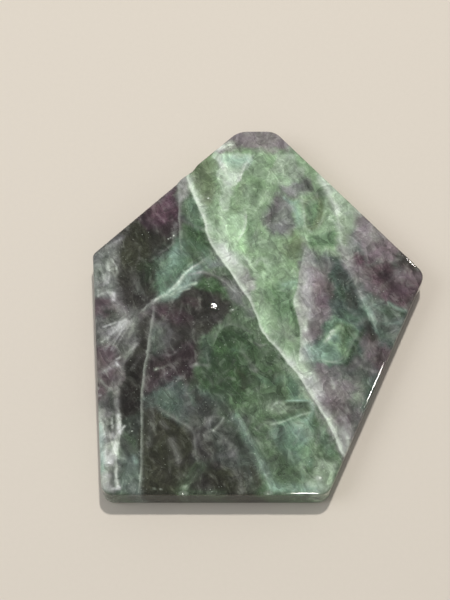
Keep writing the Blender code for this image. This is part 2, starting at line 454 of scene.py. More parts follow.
    "patch lobe": Zone("sea_green", 2.6, ((14.6, -10), (18.4, -6), (20.6, -8), (20.8, -14), (15.4, -14.4))),
    "bright wedge": Zone("leaf", 1.8, (
        (-2.2, 3), (1.3, 6.5), (8.8, 2), (9.8, -4), (10.8, -11.5), (9.8, -17.5), (6.8, -13.5), (1.3, -5),
    )),
    "leaf wedge": Zone("grass", 3, ((1.8, 5), (5.6, 5.4), (8.8, 1.6), (9.6, -4), (8.3, -9), (5, -4.5))),
    "dark wedge": Zone("plum", 2.4, (
        (25.6, -9.6), (27, -7), (29.3, -10.5), (34.8, -14), (31.8, -20), (28, -19), (26.4, -14),
    )),
    "grey below the patch": Zone("fog", 2.4, (
        (20.8, -17), (24.6, -13.4), (28.4, -15), (31.4, -18.4), (28.6, -22), (24, -22.4), (20.6, -20.4),
    )),
    "lower right green": Zone("teal_grey", 2.4, ((23.8, -20), (29.8, -20), (26.8, -27), (23.3, -27))),
    "lilac lower": Zone("lilac_grey", 2.4, (
        (9.8, -18), (14.8, -15.5), (20.8, -17), (24.3, -18.5), (26.3, -24), (24.8, -34), (21.8, -42),
        (18.8, -36), (16.8, -31), (13.8, -24.5),
    )),
    "grey of the lower right": Zone("fog", 3, (
        (21.6, -25.4), (24, -27), (25.4, -33), (23.4, -34.4), (21.6, -30.4),
    )),
    "main glow, lower": Zone("milk_green", 2.2, (
        (5.8, -13.5), (8.8, -13), (11.8, -18), (11.8, -21), (9.3, -17.5),
    )),
    "main glow, lowest": Zone("ash", 2.8, (
        (9.8, -18), (12.8, -18), (16.8, -26), (19.8, -32), (21.8, -38), (20.8, -41),
    )),
}
GROUND_COLOUR = "smoke_black"
# A zone with a narrower edge than this is a clean break: it is ruffled as little as the cracks are.
CLEAN_EDGE = 0.5
# Zones lean as they go down: how far sideways for each millimetre of depth.
ZONE_LEAN = np.array((0.15, 0.10))


# ---------------------------------------------------------------- healed cracks, in mm


class Veil(NamedTuple):
    """A healed crack: a milky sheet that reaches the top along a path and dips to the left of it.

    line is how bright the crack is where it reaches the surface, glow how milky the stone is over
    the sheet, reach how far that goes, dip how far the sheet moves for each millimetre of depth,
    and groove how deep the polish has worn along it.
    """

    line: float
    glow: float
    reach: float
    dip: float
    groove: float
    path: tuple


VEILS = {
    "main": Veil(0.6, 0.58, 2.6, 0.5, 0, MAIN_CRACK),
    "second": Veil(0.34, 0.25, 1.2, 0.1, 0.008, (
        (-26.6, 0.2), (-27.2, -5), (-27.7, -8.5), (-28.1, -12), (-29.1, -20), (-29.5, -25.5), (-29.3, -30),
        (-29.1, -36), (-29.1, -42), (-29.4, -47), (-29.8, -51.5),
    )),
    "branch": Veil(0.12, 0.38, 2.4, 0.35, 0, (
        (-11, 14.6), (-15.4, 11.6), (-18.8, 8.6), (-22.2, 4.2), (-26.8, 1.2), (-29.4, -1.2), (-30.8, -3.4),
    )),
    "strip": Veil(0.16, 0.32, 2, 0.3, 0, (
        (-21, 36.6), (-20.6, 28), (-20.6, 22), (-20.2, 17), (-19.4, 12.4),
    )),
    "right": Veil(0.1, 0.42, 2.8, 0.4, 0, (
        (16.6, 38.4), (18.6, 32.4), (20.4, 27), (21.4, 22), (21.8, 16.6), (22.8, 11.6), (24.2, 7.6),
        (26.2, 2.6), (28.6, -3.6), (30.6, -8.4),
    )),
    "middle": Veil(0.12, 0.5, 2.8, 0.35, 0, (
        (13.2, 17.6), (12.4, 15.6), (11.2, 10), (10.2, 3.8), (9, 0.4), (10.6, -5.6), (10.8, -10.4),
        (10.4, -17.6),
    )),
    "lower diagonal": Veil(0.03, 0.16, 2.6, 0.3, 0, (
        (-6.6, -28.2), (-5, -31), (-2.2, -36.8), (0.6, -43.6), (3.4, -51.5),
    )),
    "thin curved": Veil(0.06, 0.12, 1.6, 0.3, 0, (
        (-25.6, -28.2), (-20.2, -31.6), (-16.4, -33.6), (-16, -39), (-14.6, -44.2),
    )),
    "left, level": Veil(0.03, 0.2, 2.4, 0.3, 0, ((-43, -8.8), (-37, -6.8), (-33, -4), (-29.4, -1.2))),
    "lower branch": Veil(0.08, 0.25, 1.8, 0.3, 0, (
        (-16.6, 8.8), (-14, 9.2), (-11.4, 8.4), (-8.6, 6.4), (-6.6, 3.8), (-3.8, 1.2),
    )),
    "green cap": Veil(0.06, 0.2, 1.8, 0.3, 0, (
        (-11.6, -12.8), (-10.6, -9.4), (-9.4, -6.8), (-6.8, -5.6), (-3, -7.2), (0, -9.4),
    )),
    "patch edge": Veil(0.14, 0.14, 0.9, 0.2, 0, ((14.6, -15.4), (21.4, -16.7), (26.2, -6.4))),
    "lower hook": Veil(0.06, 0.15, 1.4, 0.25, 0, (
        (9.4, -30.4), (13.2, -29.6), (13.6, -27.4), (12.2, -26.2), (6.6, -26.3),
    )),
    "left, lower": Veil(0.26, 0.3, 1.6, 0.25, 0.03, (
        (-34.6, -49.6), (-35, -46.2), (-35, -39.2), (-34.2, -34.4), (-34.6, -29.2),
    )),
    "left, upper": Veil(0.05, 0.15, 1.6, 0.15, 0, (
        (-35.4, -26), (-34.6, -21.2), (-34, -18.6), (-33.8, -15.6), (-30.8, -11.2), (-31.2, -7.2),
        (-33, -4),
    )),
    "lens edge": Veil(0.3, 0.75, 2.2, 0.2, 0, (
        (-6.4, 15.4), (-4.2, 19), (-2.9, 22), (-2.6, 25.6), (-3.4, 28),
    )),
    "band edge": Veil(0.3, 0.65, 2.4, 0.2, 0, (
        (-6.6, 31.6), (-5, 34.8), (-3.7, 37.6), (-2.5, 40.6), (-1, 43.6),
    )),
}
VEIL_TAPER = 4.0
VEIL_STEP = 0.8
# The cloud over a healed crack starts and is full at these distances from it. How fast it fades and where
# it ends are in times its reach.
VEIL_START, VEIL_FULL = -0.30, 0.10
VEIL_FADE, VEIL_END = 0.55, 4.0
# Healed cracks that a wisp of cloud doesn't cross, how near one has to be to count, from where on a wisp
# counts as beyond it, and where the wisp stops.
BARRIERS = ("main", "second", "middle")
BARRIER_REACH = 4.0
BARRIER_SIDE = -0.4
BARRIER_STOP = (-0.45, 0.05)


# ---------------------------------------------------------------- wisps of cloud, in mm


class Wisp(NamedTuple):
    """A soft streak of one colour along a path: its half width, and how strong it is."""

    colour: str
    width: float
    strength: float
    path: tuple


# Each row is one wisp, its values in the order above.
WISPS = (
    # star
    ("pearl", 1.4, 0.75, ((-32.2, -3.9), (-33.2, -4.6), (-34.8, -6))),
    ("pearl", 1, 0.5, ((-34.2, -5.4), (-36.2, -7), (-38.8, -9))),
    ("ash", 0.35, 0.6, ((-33.2, -5.6), (-35.6, -8.6), (-38.8, -12.4))),
    ("ash", 0.3, 0.55, ((-32.8, -6), (-34.8, -9.6), (-36.6, -12.6))),
    ("ash", 0.4, 0.5, ((-31.8, -5.4), (-32.4, -8.4), (-33.4, -11))),
    ("lilac_grey", 1.3, 0.5, ((-33.4, -4.2), (-34.4, -1.8), (-35.6, 0), (-36.6, 1.2))),
    ("pearl", 0.25, 0.47, ((-33.6, -4.4), (-36.2, -5), (-39.4, -6.4))),
    ("pearl", 0.25, 0.43, ((-34, -5.4), (-37, -8.2), (-39.8, -10.4))),
    ("pearl", 0.22, 0.47, ((-33.8, -5.8), (-36, -9.6), (-37.2, -12.4))),
    # left corner
    ("pearl", 0.5, 0.6, ((-37.1, 1.2), (-37.2, 2.7))),
    ("pearl", 0.4, 0.36, ((-37.1, 2.7), (-38.6, 3.2), (-40, 2.9), (-41, 2.2))),
    ("lilac_grey", 0.7, 0.5, ((-39.6, -1), (-37.6, -0.6), (-35.8, -1.4))),
    ("slate", 1.1, 0.6, ((-38.8, -1.8), (-37.4, -2))),
    ("pearl", 0.7, 0.5, ((-38.5, 10.4), (-38.6, 8.6), (-39, 6.2))),
    ("ash", 1.3, 0.6, ((-37.6, 13.4), (-36.9, 11), (-36.9, 9))),
    ("pearl", 0.5, 0.25, ((-40.2, 15.2), (-38.2, 16.6), (-35.8, 18.4))),
    ("slate", 0.6, 0.55, ((-40.8, 8.6), (-40.8, 8))),
    ("slate", 0.7, 0.55, ((-40.8, 6.6), (-40.6, 5.8))),
    ("mist", 1, 0.5, ((-39.2, 13.4), (-37.6, 13.6))),
    ("pearl", 0.22, 0.4, ((-38.9, 11.6), (-38.1, 9), (-38.3, 6))),
    ("pearl", 0.22, 0.36, ((-40.4, 9.6), (-39.4, 7.4), (-39.6, 4.8))),
    ("slate", 0.7, 0.45, ((-41, 4.6), (-38.8, 4.8))),
    ("pearl", 0.4, 0.3, ((-37.3, 3), (-37, 2), (-36.7, 1))),
    ("pearl", 0.2, 0.5, ((-37.8, 12.4), (-36.7, 11), (-36.4, 9.4))),
    ("slate", 0.6, 0.5, ((-39.8, 12.6), (-39, 13.6))),
    ("ash", 1.2, 0.5, ((-40.6, 5.8), (-40, 3.6))),
    ("mist", 0.8, 0.5, ((-30.8, 3.5), (-29.8, 3.3))),
    ("mist", 0.7, 0.5, ((-21.4, 22.5), (-21.6, 18.5))),
    ("ash", 0.8, 0.6, ((-38, 2.6), (-36.2, -0.4), (-34.4, -2.6))),
    ("fog", 1, 0.6, ((-31.6, -2.2), (-32.6, -3.8))),
    ("fog", 1, 0.5, ((-39.4, -8), (-37.6, -9))),
    ("ash", 1.3, 0.6, ((-37.5, -32), (-37.4, -35))),
    ("milk_green", 1.2, 0.5, ((-35.6, -38.6), (-34.2, -40.6))),
    # left border, middle
    ("pearl", 0.3, 0.72, ((-35.7, -15.1), (-34.9, -14.7))),
    ("pearl", 0.5, 0.64, ((-35.6, -16), (-35.3, -16.6))),
    ("pearl", 0.7, 0.36, ((-35.8, -16.4), (-37.2, -17.2), (-38.8, -18.4))),
    ("ash", 0.3, 0.5, ((-40.4, -20), (-39, -21.2), (-37.8, -22.8))),
    ("ash", 0.5, 0.6, ((-30.8, -11), (-32.2, -12.8), (-34, -14.3))),
    ("lilac_grey", 0.8, 0.5, ((-34.2, -15.6), (-34.1, -19.6), (-35.1, -21.4))),
    ("ash", 1, 0.5, ((-36.1, -22), (-36, -24.4), (-35.7, -27.4))),
    ("pearl", 0.3, 0.48, ((-40.8, -22.4), (-40.2, -22.8))),
    ("pearl", 0.3, 0.56, ((-40, -24.6), (-39.6, -24.7))),
    ("slate", 0.7, 0.5, ((-36.8, -24), (-36.6, -28), (-36.1, -32))),
    ("mist", 0.9, 0.5, ((-39.4, -27.4), (-38, -25.6), (-37.2, -23))),
    ("slate", 0.7, 0.6, ((-37.2, -24.6), (-36.8, -28.8))),
    # left border, front
    ("pearl", 0.9, 0.4, ((-39.4, -30.6), (-39, -34), (-38.6, -38), (-37.8, -41.6))),
    ("pearl", 0.9, 0.36, ((-37.6, -45.4), (-37.2, -49))),
    ("pearl", 0.5, 1, ((-35, -30.2), (-34.7, -32.4))),
    ("pearl", 0.7, 0.8, ((-34.8, -33.2), (-34.4, -34.4))),
    ("pearl", 0.3, 0.8, ((-33.8, -33.6), (-33.2, -32.9))),
    ("pearl", 0.3, 0.8, ((-36.1, -35), (-35.9, -36.8))),
    ("pearl", 0.7, 1, ((-35.3, -37.4), (-35.3, -39.4), (-35.5, -41))),
    ("pearl", 0.6, 1, ((-35.9, -39.2), (-36.2, -40.8), (-36.7, -42.2))),
    ("pearl", 0.3, 0.9, ((-37.8, -43.1), (-37.3, -43.1))),
    ("pearl", 0.3, 0.8, ((-35.2, -44), (-35.1, -46))),
    ("pearl", 0.45, 0.95, ((-35, -47), (-34.6, -48.8))),
    ("pearl", 0.3, 0.8, ((-36, -49.1), (-34.2, -49))),
    ("slate", 0.5, 0.5, ((-36.1, -43.6), (-36.1, -47.6))),
    ("fog", 0.9, 0.6, ((-38.2, -25.4), (-37.6, -29), (-37.2, -33.4))),
    ("pearl", 0.25, 0.5, ((-38.4, -35), (-37.6, -38), (-37.8, -41))),
    ("pearl", 0.25, 0.5, ((-36.6, -31), (-36.4, -33.4))),
    ("pearl", 0.5, 0.8, ((-35.4, -38.2), (-35.9, -40.8), (-36.6, -42.2))),
    ("teal_milk", 1.2, 0.5, ((-39.8, -33), (-39.2, -39), (-38.6, -44))),
    ("slate", 0.4, 0.5, ((-36.2, -30.6), (-35.8, -33.6), (-36.2, -36.6))),
    ("slate", 0.35, 0.5, ((-37.2, -31.4), (-36.8, -34.6))),
    # branch
    ("teal_milk", 1.5, 0.5, ((-24.2, 2), (-20.6, 4.8), (-17.6, 8.6), (-13.2, 11.4))),
    ("teal_milk", 0.7, 0.55, (
        (-24.2, 2.4), (-21.8, 3.6), (-20.6, 5.4), (-19.4, 7.8), (-17.6, 9.6), (-15.6, 11),
    )),
    ("milk", 0.4, 0.5, ((-21.6, 3.8), (-20.4, 5.6), (-19.2, 7.8))),
    ("teal_milk", 0.7, 0.5, ((-21, 2), (-19.4, 4.6), (-17.6, 5.6), (-16.2, 5.6))),
    ("milk", 0.35, 0.5, ((-16.6, 5.4), (-16, 5.8))),
    ("lilac_grey", 1, 0.5, ((-24.8, 1), (-26.6, -0.6), (-27.8, -2.4), (-29.8, -3.2))),
    ("milk", 0.4, 0.45, ((-23.6, 2.6), (-25.8, 1.6), (-27.4, -0.2), (-28.8, -2.2))),
    ("lilac_grey", 0.9, 0.5, ((-26.8, -1.4), (-27, -4.6))),
    ("ash", 0.35, 0.5, ((-15.4, 8.6), (-13.8, 8.8), (-12.6, 8.2))),
    ("ash", 0.4, 0.5, ((-11.8, 8.4), (-9.6, 7), (-7.6, 5.2))),
    ("ash", 0.3, 0.4, ((-25.4, 14.4), (-23, 15.8), (-21.4, 17.6))),
    ("teal_milk", 1.1, 0.4, ((-23.6, 10), (-21.8, 11.6))),
    ("teal_milk", 0.9, 0.35, ((-21.2, 16.6), (-20.8, 13.4))),
    ("teal_milk", 0.9, 0.45, ((-22.2, 13.4), (-20.8, 15.6), (-20, 17.6))),
    ("ash", 0.6, 0.35, ((-20, 24), (-17.4, 22.4), (-14, 21))),
    ("sea_green", 1.3, 0.5, ((-17.4, 17.4), (-14.6, 15.8), (-12.8, 13))),
    ("fog", 1.1, 0.5, ((-31.2, 5.6), (-29.2, 2.6), (-28.2, 0.4))),
    ("milk", 0.25, 0.6, ((-23, 3.2), (-21, 5), (-19.4, 8.2), (-17.4, 10), (-14.4, 11.8))),
    ("milk_green", 0.25, 0.5, ((-22.6, 2.2), (-20, 4.4), (-18, 5.2), (-16, 5.6))),
    ("milk_green", 0.25, 0.45, ((-21.6, 2.4), (-19.6, 3.6), (-17.6, 4.2))),
    ("milk_green", 0.25, 0.4, ((-19.2, 9.4), (-17.4, 11.6), (-14.6, 13.2))),
    ("ash", 0.22, 0.45, ((-17.6, 8.2), (-14.6, 9), (-12.2, 8.4))),
    ("forest", 2.2, 0.6, ((-28.4, 10.4), (-28.2, 6.4))),
    ("smoke_black", 1.4, 0.6, ((-28.4, 5), (-27.6, 3))),
    ("sea_green", 1.2, 0.6, ((-19.4, 16.5), (-19.6, 12.5))),
    ("teal_grey", 1, 0.5, ((-19.6, 25), (-17.8, 23.8))),
    ("moss", 1.1, 0.6, ((-15.8, 12.2), (-13.6, 11))),
    ("moss", 0.9, 0.5, ((-13.6, 9.6), (-10.6, 8.4))),
    ("ink", 0.8, 0.6, ((-29.6, 1), (-28.2, 0.8))),
    ("slate", 1.3, 0.5, ((-26.2, 14), (-25.8, 11))),
    ("fog", 0.8, 0.5, ((-28, -6), (-28.1, -9.2))),
    # main vein
    ("milk", 0.7, 0.5, ((-19.2, 37.6), (-18.2, 34.8), (-17, 32.2))),
    ("milk_green", 0.6, 0.25, ((-17.4, 32), (-15.6, 28), (-13.8, 24.4))),
    ("milk", 0.35, 0.55, ((-14.4, 25.4), (-13.4, 22.6), (-13.4, 20.6), (-12.4, 18.2))),
    ("milk_green", 1.6, 0.7, ((-10.6, 16.8), (-8.6, 14.4), (-6.6, 11.6), (-5, 9.6))),
    ("milk", 1.8, 0.75, ((-9.4, 15.6), (-7.4, 12.8), (-5.2, 10.2))),
    ("milk", 0.45, 0.7, ((-5.2, 6.6), (-3.8, 4.2), (-1.8, 1.6), (0, -1.2))),
    ("mint", 1, 0.6, ((-0.2, -2.8), (0.8, -5.4), (2.4, -7.8))),
    ("milk", 0.7, 0.75, ((5, -12.6), (7.2, -15.2), (9.4, -17.2))),
    ("milk", 0.5, 0.7, ((11, -19.8), (13, -23.2), (14.6, -26.6))),
    ("milk", 0.5, 0.5, ((15.4, -28.4), (17.4, -31.4), (18.6, -34))),
    ("milk", 0.7, 0.75, ((19.6, -36.8), (20.6, -39.6))),
    ("ash", 1.8, 0.7, ((20.4, -31), (22.2, -36), (21.8, -40))),
    ("sage", 1.2, 0.4, ((6.3, -16.5), (9.3, -21), (12.3, -25.5))),
    ("ash", 1.6, 0.7, ((-20, 35.2), (-19.4, 32.6))),
    ("milk", 0.6, 0.7, ((-5.8, 7.4), (-4.2, 5.2), (-2, 1.6))),
    ("milk_green", 1.2, 0.55, ((10.8, -14.6), (12.2, -17.6), (13.6, -21))),
    ("grass", 1, 0.4, ((-12.8, 25.4), (-11.6, 21.6), (-10.4, 18.6))),
    ("sage", 0.9, 0.6, ((8, -17.8), (9.6, -20.4), (11.4, -23.4), (13, -27))),
    ("sea_green", 1.5, 0.5, ((-17.4, 28.8), (-15.8, 25), (-15.4, 21.6))),
    ("mist", 1.3, 0.6, ((-3.6, 1.2), (-2, -1.6), (-1.6, -3))),
    ("mint", 1.6, 0.5, ((0.8, -2.4), (1.6, -4.8))),
    ("milk", 0.4, 0.7, ((8.8, -17.2), (10.4, -19), (13.8, -24.6), (15.6, -28.2))),
    ("milk", 1.5, 0.6, ((-9, 14.8), (-7, 12.2), (-5.4, 10.4))),
    ("fog", 1, 0.5, ((-20.6, 32), (-20.4, 28.8))),
    # upper band
    ("milk", 0.5, 0.95, ((-10.4, 44.6), (-9, 46))),
    ("milk", 0.7, 0.9, ((-10, 42.4), (-9.4, 40.2), (-8.8, 38.6))),
    ("milk", 0.35, 0.75, ((-4.6, 35.6), (-4.2, 37.4), (-3.2, 39.6), (-2.2, 42))),
    ("teal_milk", 1.6, 0.6, ((-8, 41.6), (-5.4, 40.6), (-3, 41.4))),
    ("milk_green", 0.7, 0.6, ((-9.2, 35), (-8.8, 32), (-7.2, 30.8), (-6.4, 32.4))),
    ("mint", 0.9, 0.6, ((-4.4, 22.6), (-4.8, 19.6))),
    ("milk", 0.5, 0.6, ((-8.6, 40.4), (-8.2, 37.4), (-8.4, 34.8))),
    ("milk_green", 0.9, 0.6, ((-4.8, 14.6), (-3.2, 12.4), (-1.4, 10.6))),
    ("teal_milk", 1, 0.5, ((-6.4, 41.8), (-4, 41), (-2.6, 41.6))),
    ("leaf", 0.5, 0.5, ((-9.2, 35.4), (-8.6, 33), (-9, 30.6))),
    ("milk_green", 1.1, 0.6, ((-8.4, 36), (-8, 32), (-8.2, 27.4))),
    ("grass", 1.1, 0.6, ((-1.6, 23), (-1.8, 19.6), (-0.6, 16.4))),
    ("mint", 1.3, 0.5, ((-9, 21.4), (-7.4, 18), (-5.6, 15.6))),
    ("milk", 0.9, 0.7, ((-10.6, 44.8), (-8.4, 45.4), (-6.8, 46.2))),
    ("olive", 0.9, 0.4, ((-3.6, 34.6), (-5, 30.4), (-5.6, 26.8))),
    ("teal_milk", 1.2, 0.5, ((10.6, 28), (11, 25.4), (11.2, 22.6))),
    ("fog", 0.9, 0.4, ((8.6, 30.6), (10.8, 30.4))),
    ("milk", 1, 0.5, ((-9.6, 16), (-8, 13.4))),
    ("leaf", 0.9, 0.6, ((-10.4, 34), (-10.6, 30.6))),
    ("leaf", 1.1, 0.5, ((-5.4, 30.6), (-5.8, 28))),
    ("milk", 1.2, 0.6, ((-8.6, 13.6), (-6.8, 11.4))),
    ("milk_green", 0.9, 0.5, ((-9.4, 26.4), (-8.6, 23))),
    ("sea_green", 1.2, 0.3, ((-5.8, 40), (-4.2, 38.6))),
    ("milk_green", 1.5, 0.5, ((-8.8, 21.6), (-7, 17))),
    ("milk", 1.2, 0.5, ((-8.4, 13.8), (-6.8, 11.2))),
    # upper field
    ("mint", 1.2, 0.5, ((3.8, 36), (6.6, 37.2), (8.4, 35.2))),
    ("milk_green", 0.9, 0.5, ((8.2, 43.4), (9.6, 42.2))),
    ("milk_green", 1, 0.4, ((2.2, 31.6), (0.4, 28.6))),
    ("milk_green", 0.9, 0.4, ((-1.4, 27.6), (-0.8, 29.2))),
    ("plum", 1.2, 0.4, ((5.4, 30), (4.4, 26.6), (3, 23.8))),
    ("mint", 1, 0.3, ((11.4, 31), (11.2, 26), (11.8, 22.4))),
    ("mint", 0.9, 0.3, ((12.2, 20.4), (15.4, 19.8), (18.6, 21.2))),
    ("milk_green", 0.6, 0.5, ((-0.8, 10.6), (0.6, 12.8), (2.6, 12), (3.2, 9.8))),
    ("fog", 1.3, 0.75, ((13, 35), (13.8, 32.8))),
    ("ash", 0.9, 0.5, ((7.4, 33), (9.6, 31.6), (11.8, 29.4))),
    ("teal_milk", 0.8, 0.5, ((8.6, 28.8), (10.4, 26.4), (11, 23.4))),
    ("moss", 1, 0.4, ((4.2, 11.2), (3.4, 8), (1.2, 6.6))),
    ("milk_green", 0.35, 0.42, ((11.8, 31.4), (12.4, 26.6), (12.2, 22.2), (14, 20.4))),
    ("milk_green", 0.35, 0.42, ((17.4, 32.2), (18.4, 28.6), (17.4, 24.6), (16, 21.4))),
    ("moss", 1, 0.5, ((0.6, 34.6), (0, 31.4), (-1, 29))),
    ("slate", 0.9, 0.55, ((12.8, 34.8), (13.8, 33))),
    ("moss", 0.9, 0.6, ((16, 32.6), (17.4, 30.4))),
    ("teal_milk", 0.5, 0.45, ((7.2, 30.4), (9, 28.8), (11, 29.2))),
    ("slate", 0.7, 0.45, ((3.6, 28.4), (4.6, 26), (4.2, 23.6))),
    ("milk", 0.25, 0.5, ((5.8, 22.8), (6.4, 22.2))),
    ("milk_green", 0.3, 0.42, ((-0.6, 26.6), (0.8, 28.4), (2.6, 30.6))),
    ("mint", 1.6, 0.5, ((3.4, 9.6), (2, 8), (1.2, 6.6))),
    ("leaf", 1.3, 0.5, ((8.6, 4.6), (9.6, 7.4), (8.6, 10))),
    ("leaf", 1.3, 0.6, ((11.6, 20.6), (14.4, 18.6))),
    ("teal_milk", 1.4, 0.5, ((6.8, 5), (9.6, 5.6))),
    ("leaf", 1, 0.5, ((-3.4, 1.6), (-2.4, -0.2))),
    ("ash", 0.9, 0.5, ((7, 28.6), (9, 27.4))),
    ("mint", 0.6, 0.7, ((11.8, 19.8), (12.6, 19))),
    ("fog", 1.2, 0.4, ((12, 36.6), (13.4, 35.2))),
    # right vein
    ("milk", 0.9, 0.6, ((17, 36.6), (18.6, 32.6), (20.2, 29.2), (21, 26))),
    ("milk_green", 1.6, 0.45, ((20.6, 31.4), (22.8, 27), (23.2, 22))),
    ("milk_green", 0.5, 0.5, ((18.8, 24.6), (20.4, 23.2), (21.4, 21), (21.8, 17.6))),
    ("ash", 1.1, 0.45, ((22.4, 16), (23.2, 11.4), (24.8, 7.2), (26.6, 2.4))),
    ("milk", 0.45, 0.4, ((12.8, 12.8), (14, 11.4), (14.8, 10.6))),
    ("ash", 0.8, 0.4, ((18.4, 14.6), (20.4, 13.4))),
    ("fog", 1.2, 0.5, ((15.4, 13.6), (18, 11.6))),
    ("teal_milk", 0.9, 0.4, ((27.2, 1), (28.8, -3.2), (30.4, -7.4))),
    ("olive", 1.1, 0.4, ((22.4, 24), (23.4, 20.4), (23, 17.6))),
    ("milk", 0.35, 0.4, ((24.4, 30.4), (26.2, 28), (27, 26))),
    ("milk_green", 1.2, 0.5, ((17.8, 36.2), (20.2, 32.6), (22.6, 29.2))),
    # middle vein
    ("milk", 0.9, 0.65, ((9.6, 0.6), (10.7, -1.2), (11.6, -3.6), (11.9, -7))),
    ("grass", 1.8, 0.5, ((5.3, -8.5), (7.3, -13))),
    ("ash", 1.8, 0.35, ((6.6, -5), (8.2, -9))),
    ("milk_green", 1, 0.6, ((10.4, 6), (10, 3), (9.4, 0.8))),
    ("ash", 1.4, 0.5, ((11.6, 9.6), (11.8, 5), (12, 1), (12.4, -3))),
    ("milk", 1, 0.55, ((11.4, -10.4), (11.8, -13.6), (11.2, -17))),
    ("milk_green", 1.4, 0.5, ((12.4, -17.6), (13.4, -20))),
    ("teal_milk", 1.2, 0.5, ((13.4, -12.6), (15.6, -14))),
    ("plum", 1.3, 0.5, ((14.4, -7.4), (15.8, -8.6))),
    # Painted shadow: the thin dark line along the left of the middle vein.
    ("forest", 0.7, 0.6, ((8.4, -1), (9.6, -4.6), (10, -8.6))),
    ("ash", 1.2, 0.5, ((12.6, -9), (12.4, -12.4), (12.8, -15.4))),
    ("ash", 1, 0.45, ((13.6, 13.8), (12.6, 11.6), (12.6, 8.6))),
    ("ash", 1.3, 0.6, ((11.2, 9), (10.9, 4.6), (10.8, 0.6), (12, -4))),
    ("grass", 1.8, 0.5, ((6.4, -1.4), (7.6, -4.4))),
    ("smoke_black", 0.9, 0.45, ((18.6, 6.4), (17.9, 3.8), (18.6, 1.6))),
    ("pearl", 1.4, 0.4, ((13, 8), (12.8, 3), (13.2, -3.4))),
    ("ash", 0.6, 0.5, ((10, -2.2), (10.4, -5))),
    ("ash", 0.6, 0.5, ((10, -1.6), (10.6, -5.6))),
    # square patch
    ("mint", 0.8, 0.6, ((18, -10.6), (17.2, -9.6), (19, -8), (20.4, -6.8))),
    ("milk_green", 0.3, 0.35, ((15, -15.2), (18, -15.9), (21, -16.4))),
    ("teal_milk", 1.6, 0.45, ((16.2, -13.4), (19.4, -14.2))),
    ("mint", 0.7, 0.35, ((20.2, -11), (22.2, -14))),
    ("forest", 0.5, 0.7, ((22.2, -16.6), (24.4, -11.8), (27, -6.9))),
    ("teal_milk", 0.8, 0.5, ((16, -12), (17.6, -10.2), (19.2, -9))),
    ("milk_green", 0.5, 0.6, ((17, -10.6), (18, -9), (19.4, -7.6))),
    ("milk", 0.25, 0.6, ((17.4, -9.8), (18.4, -9.2))),
    ("milk", 0.25, 0.5, ((18.4, -7.8), (19.2, -7.2))),
    ("teal_milk", 1.4, 0.5, ((12.8, -12), (13.2, -14.6))),
    ("fern", 1, 0.5, ((22.6, -13), (21.6, -15.4))),
    # right corner
    ("teal_milk", 0.4, 0.4, ((30, -0.4), (31, -1.4), (32.2, -2))),
    ("teal_milk", 0.7, 0.35, ((27.4, -1.2), (28.6, -3.2), (30.2, -5.6))),
    ("lilac_grey", 1.2, 0.6, ((28.2, -11.4), (29, -14.4))),
    ("smoke_black", 0.9, 0.6, ((28.2, -6.6), (29.2, -9.6))),
    ("smoke_black", 1, 0.6, ((23.2, 2.6), (23.6, -0.6))),
    ("smoke_black", 1.2, 0.5, ((21.4, 8.4), (22.6, 6))),
    ("night_purple", 1.3, 0.7, ((31.8, 8.2), (34, 7.8))),
    ("night_purple", 1.6, 0.5, ((33.6, 5.4), (38.2, 5))),
    ("ash", 1, 0.3, ((35.8, 9.4), (37.2, 8.4))),
    ("ash", 0.9, 0.4, ((29.4, 19.6), (32.4, 17.2))),
    ("forest", 1.2, 0.5, ((30.8, -1.6), (33.6, -3), (36.6, -2.6))),
    ("slate", 1.4, 0.5, ((31.6, -5.6), (34, -7.8), (35, -10.4))),
    ("teal_milk", 0.5, 0.3, ((30.6, -5), (33, -5.8), (35.6, -5))),
    ("teal_milk", 0.4, 0.45, ((33.4, 0.4), (35.4, -1.4), (37.8, -2))),
    ("night_purple", 1.6, 0.6, ((34.4, 3.4), (37, 1.6), (38.6, 1.4))),
    ("plum", 1.2, 0.5, ((32.4, 17.4), (33.8, 14.6), (33, 12.4))),
    ("olive_black", 1.3, 0.6, ((37, 13.4), (39.4, 11.6), (41.2, 9.8))),
    ("forest", 0.9, 0.5, ((21.4, 4.6), (22, 2))),
    ("smoke_black", 0.7, 0.5, ((24, 4.6), (24.8, 1.6), (25, -1))),
    ("smoke_black", 0.9, 0.6, ((27.6, -5.4), (29.2, -9))),
    ("lilac_grey", 1.4, 0.5, ((22.8, 13), (24.2, 10), (25.8, 6.6))),
    ("night_purple", 1.4, 0.6, ((31.6, 8.4), (34.2, 7.4))),
    ("mauve", 1.2, 0.5, ((38, 8), (40.6, 7.6))),
    ("ash", 1.2, 0.6, ((21.4, 15.4), (22.6, 13.4), (23.4, 11))),
    ("forest", 0.9, 0.5, ((22.6, -8), (24.6, -10.4), (24.4, -13))),
    ("lilac_grey", 1.2, 0.5, ((26.4, 9.2), (27.8, 7), (28.6, 4.6))),
    ("night_purple", 1.5, 0.55, ((31.4, -12.6), (30.6, -16))),
    ("mauve", 1.6, 0.4, ((38, 4.4), (40.4, 4))),
    ("sea_green", 1.1, 0.45, ((22.8, -3.4), (25.2, -4.6))),
    ("mist", 1.2, 0.5, ((34.2, -6.2), (34.8, -9))),
    ("slate", 1.3, 0.5, ((30.2, -3.8), (30.8, -6.4))),
    # lower right
    ("wine_purple", 1.3, 0.3, ((18.2, -28.6), (20, -31.4))),
    ("milk", 0.8, 0.3, ((15, -21.4), (15.6, -24))),
    ("milk", 0.45, 0.4, ((18.4, -21.2), (19, -22.6))),
    ("teal_grey", 1.4, 0.5, ((24, -24.6), (24.8, -27.6))),
    ("slate", 1.2, 0.5, ((21.8, -19), (24.6, -19.6), (26.8, -18.4))),
    ("ash", 0.5, 0.45, ((24.6, -15.4), (26.6, -17.6), (29.4, -18.6))),
    ("milk", 0.5, 0.4, ((20.6, -33.6), (22.2, -36.4), (21.8, -39.4))),
    ("plum", 1.8, 0.5, ((15.2, -25.4), (17, -27.2), (19, -27))),
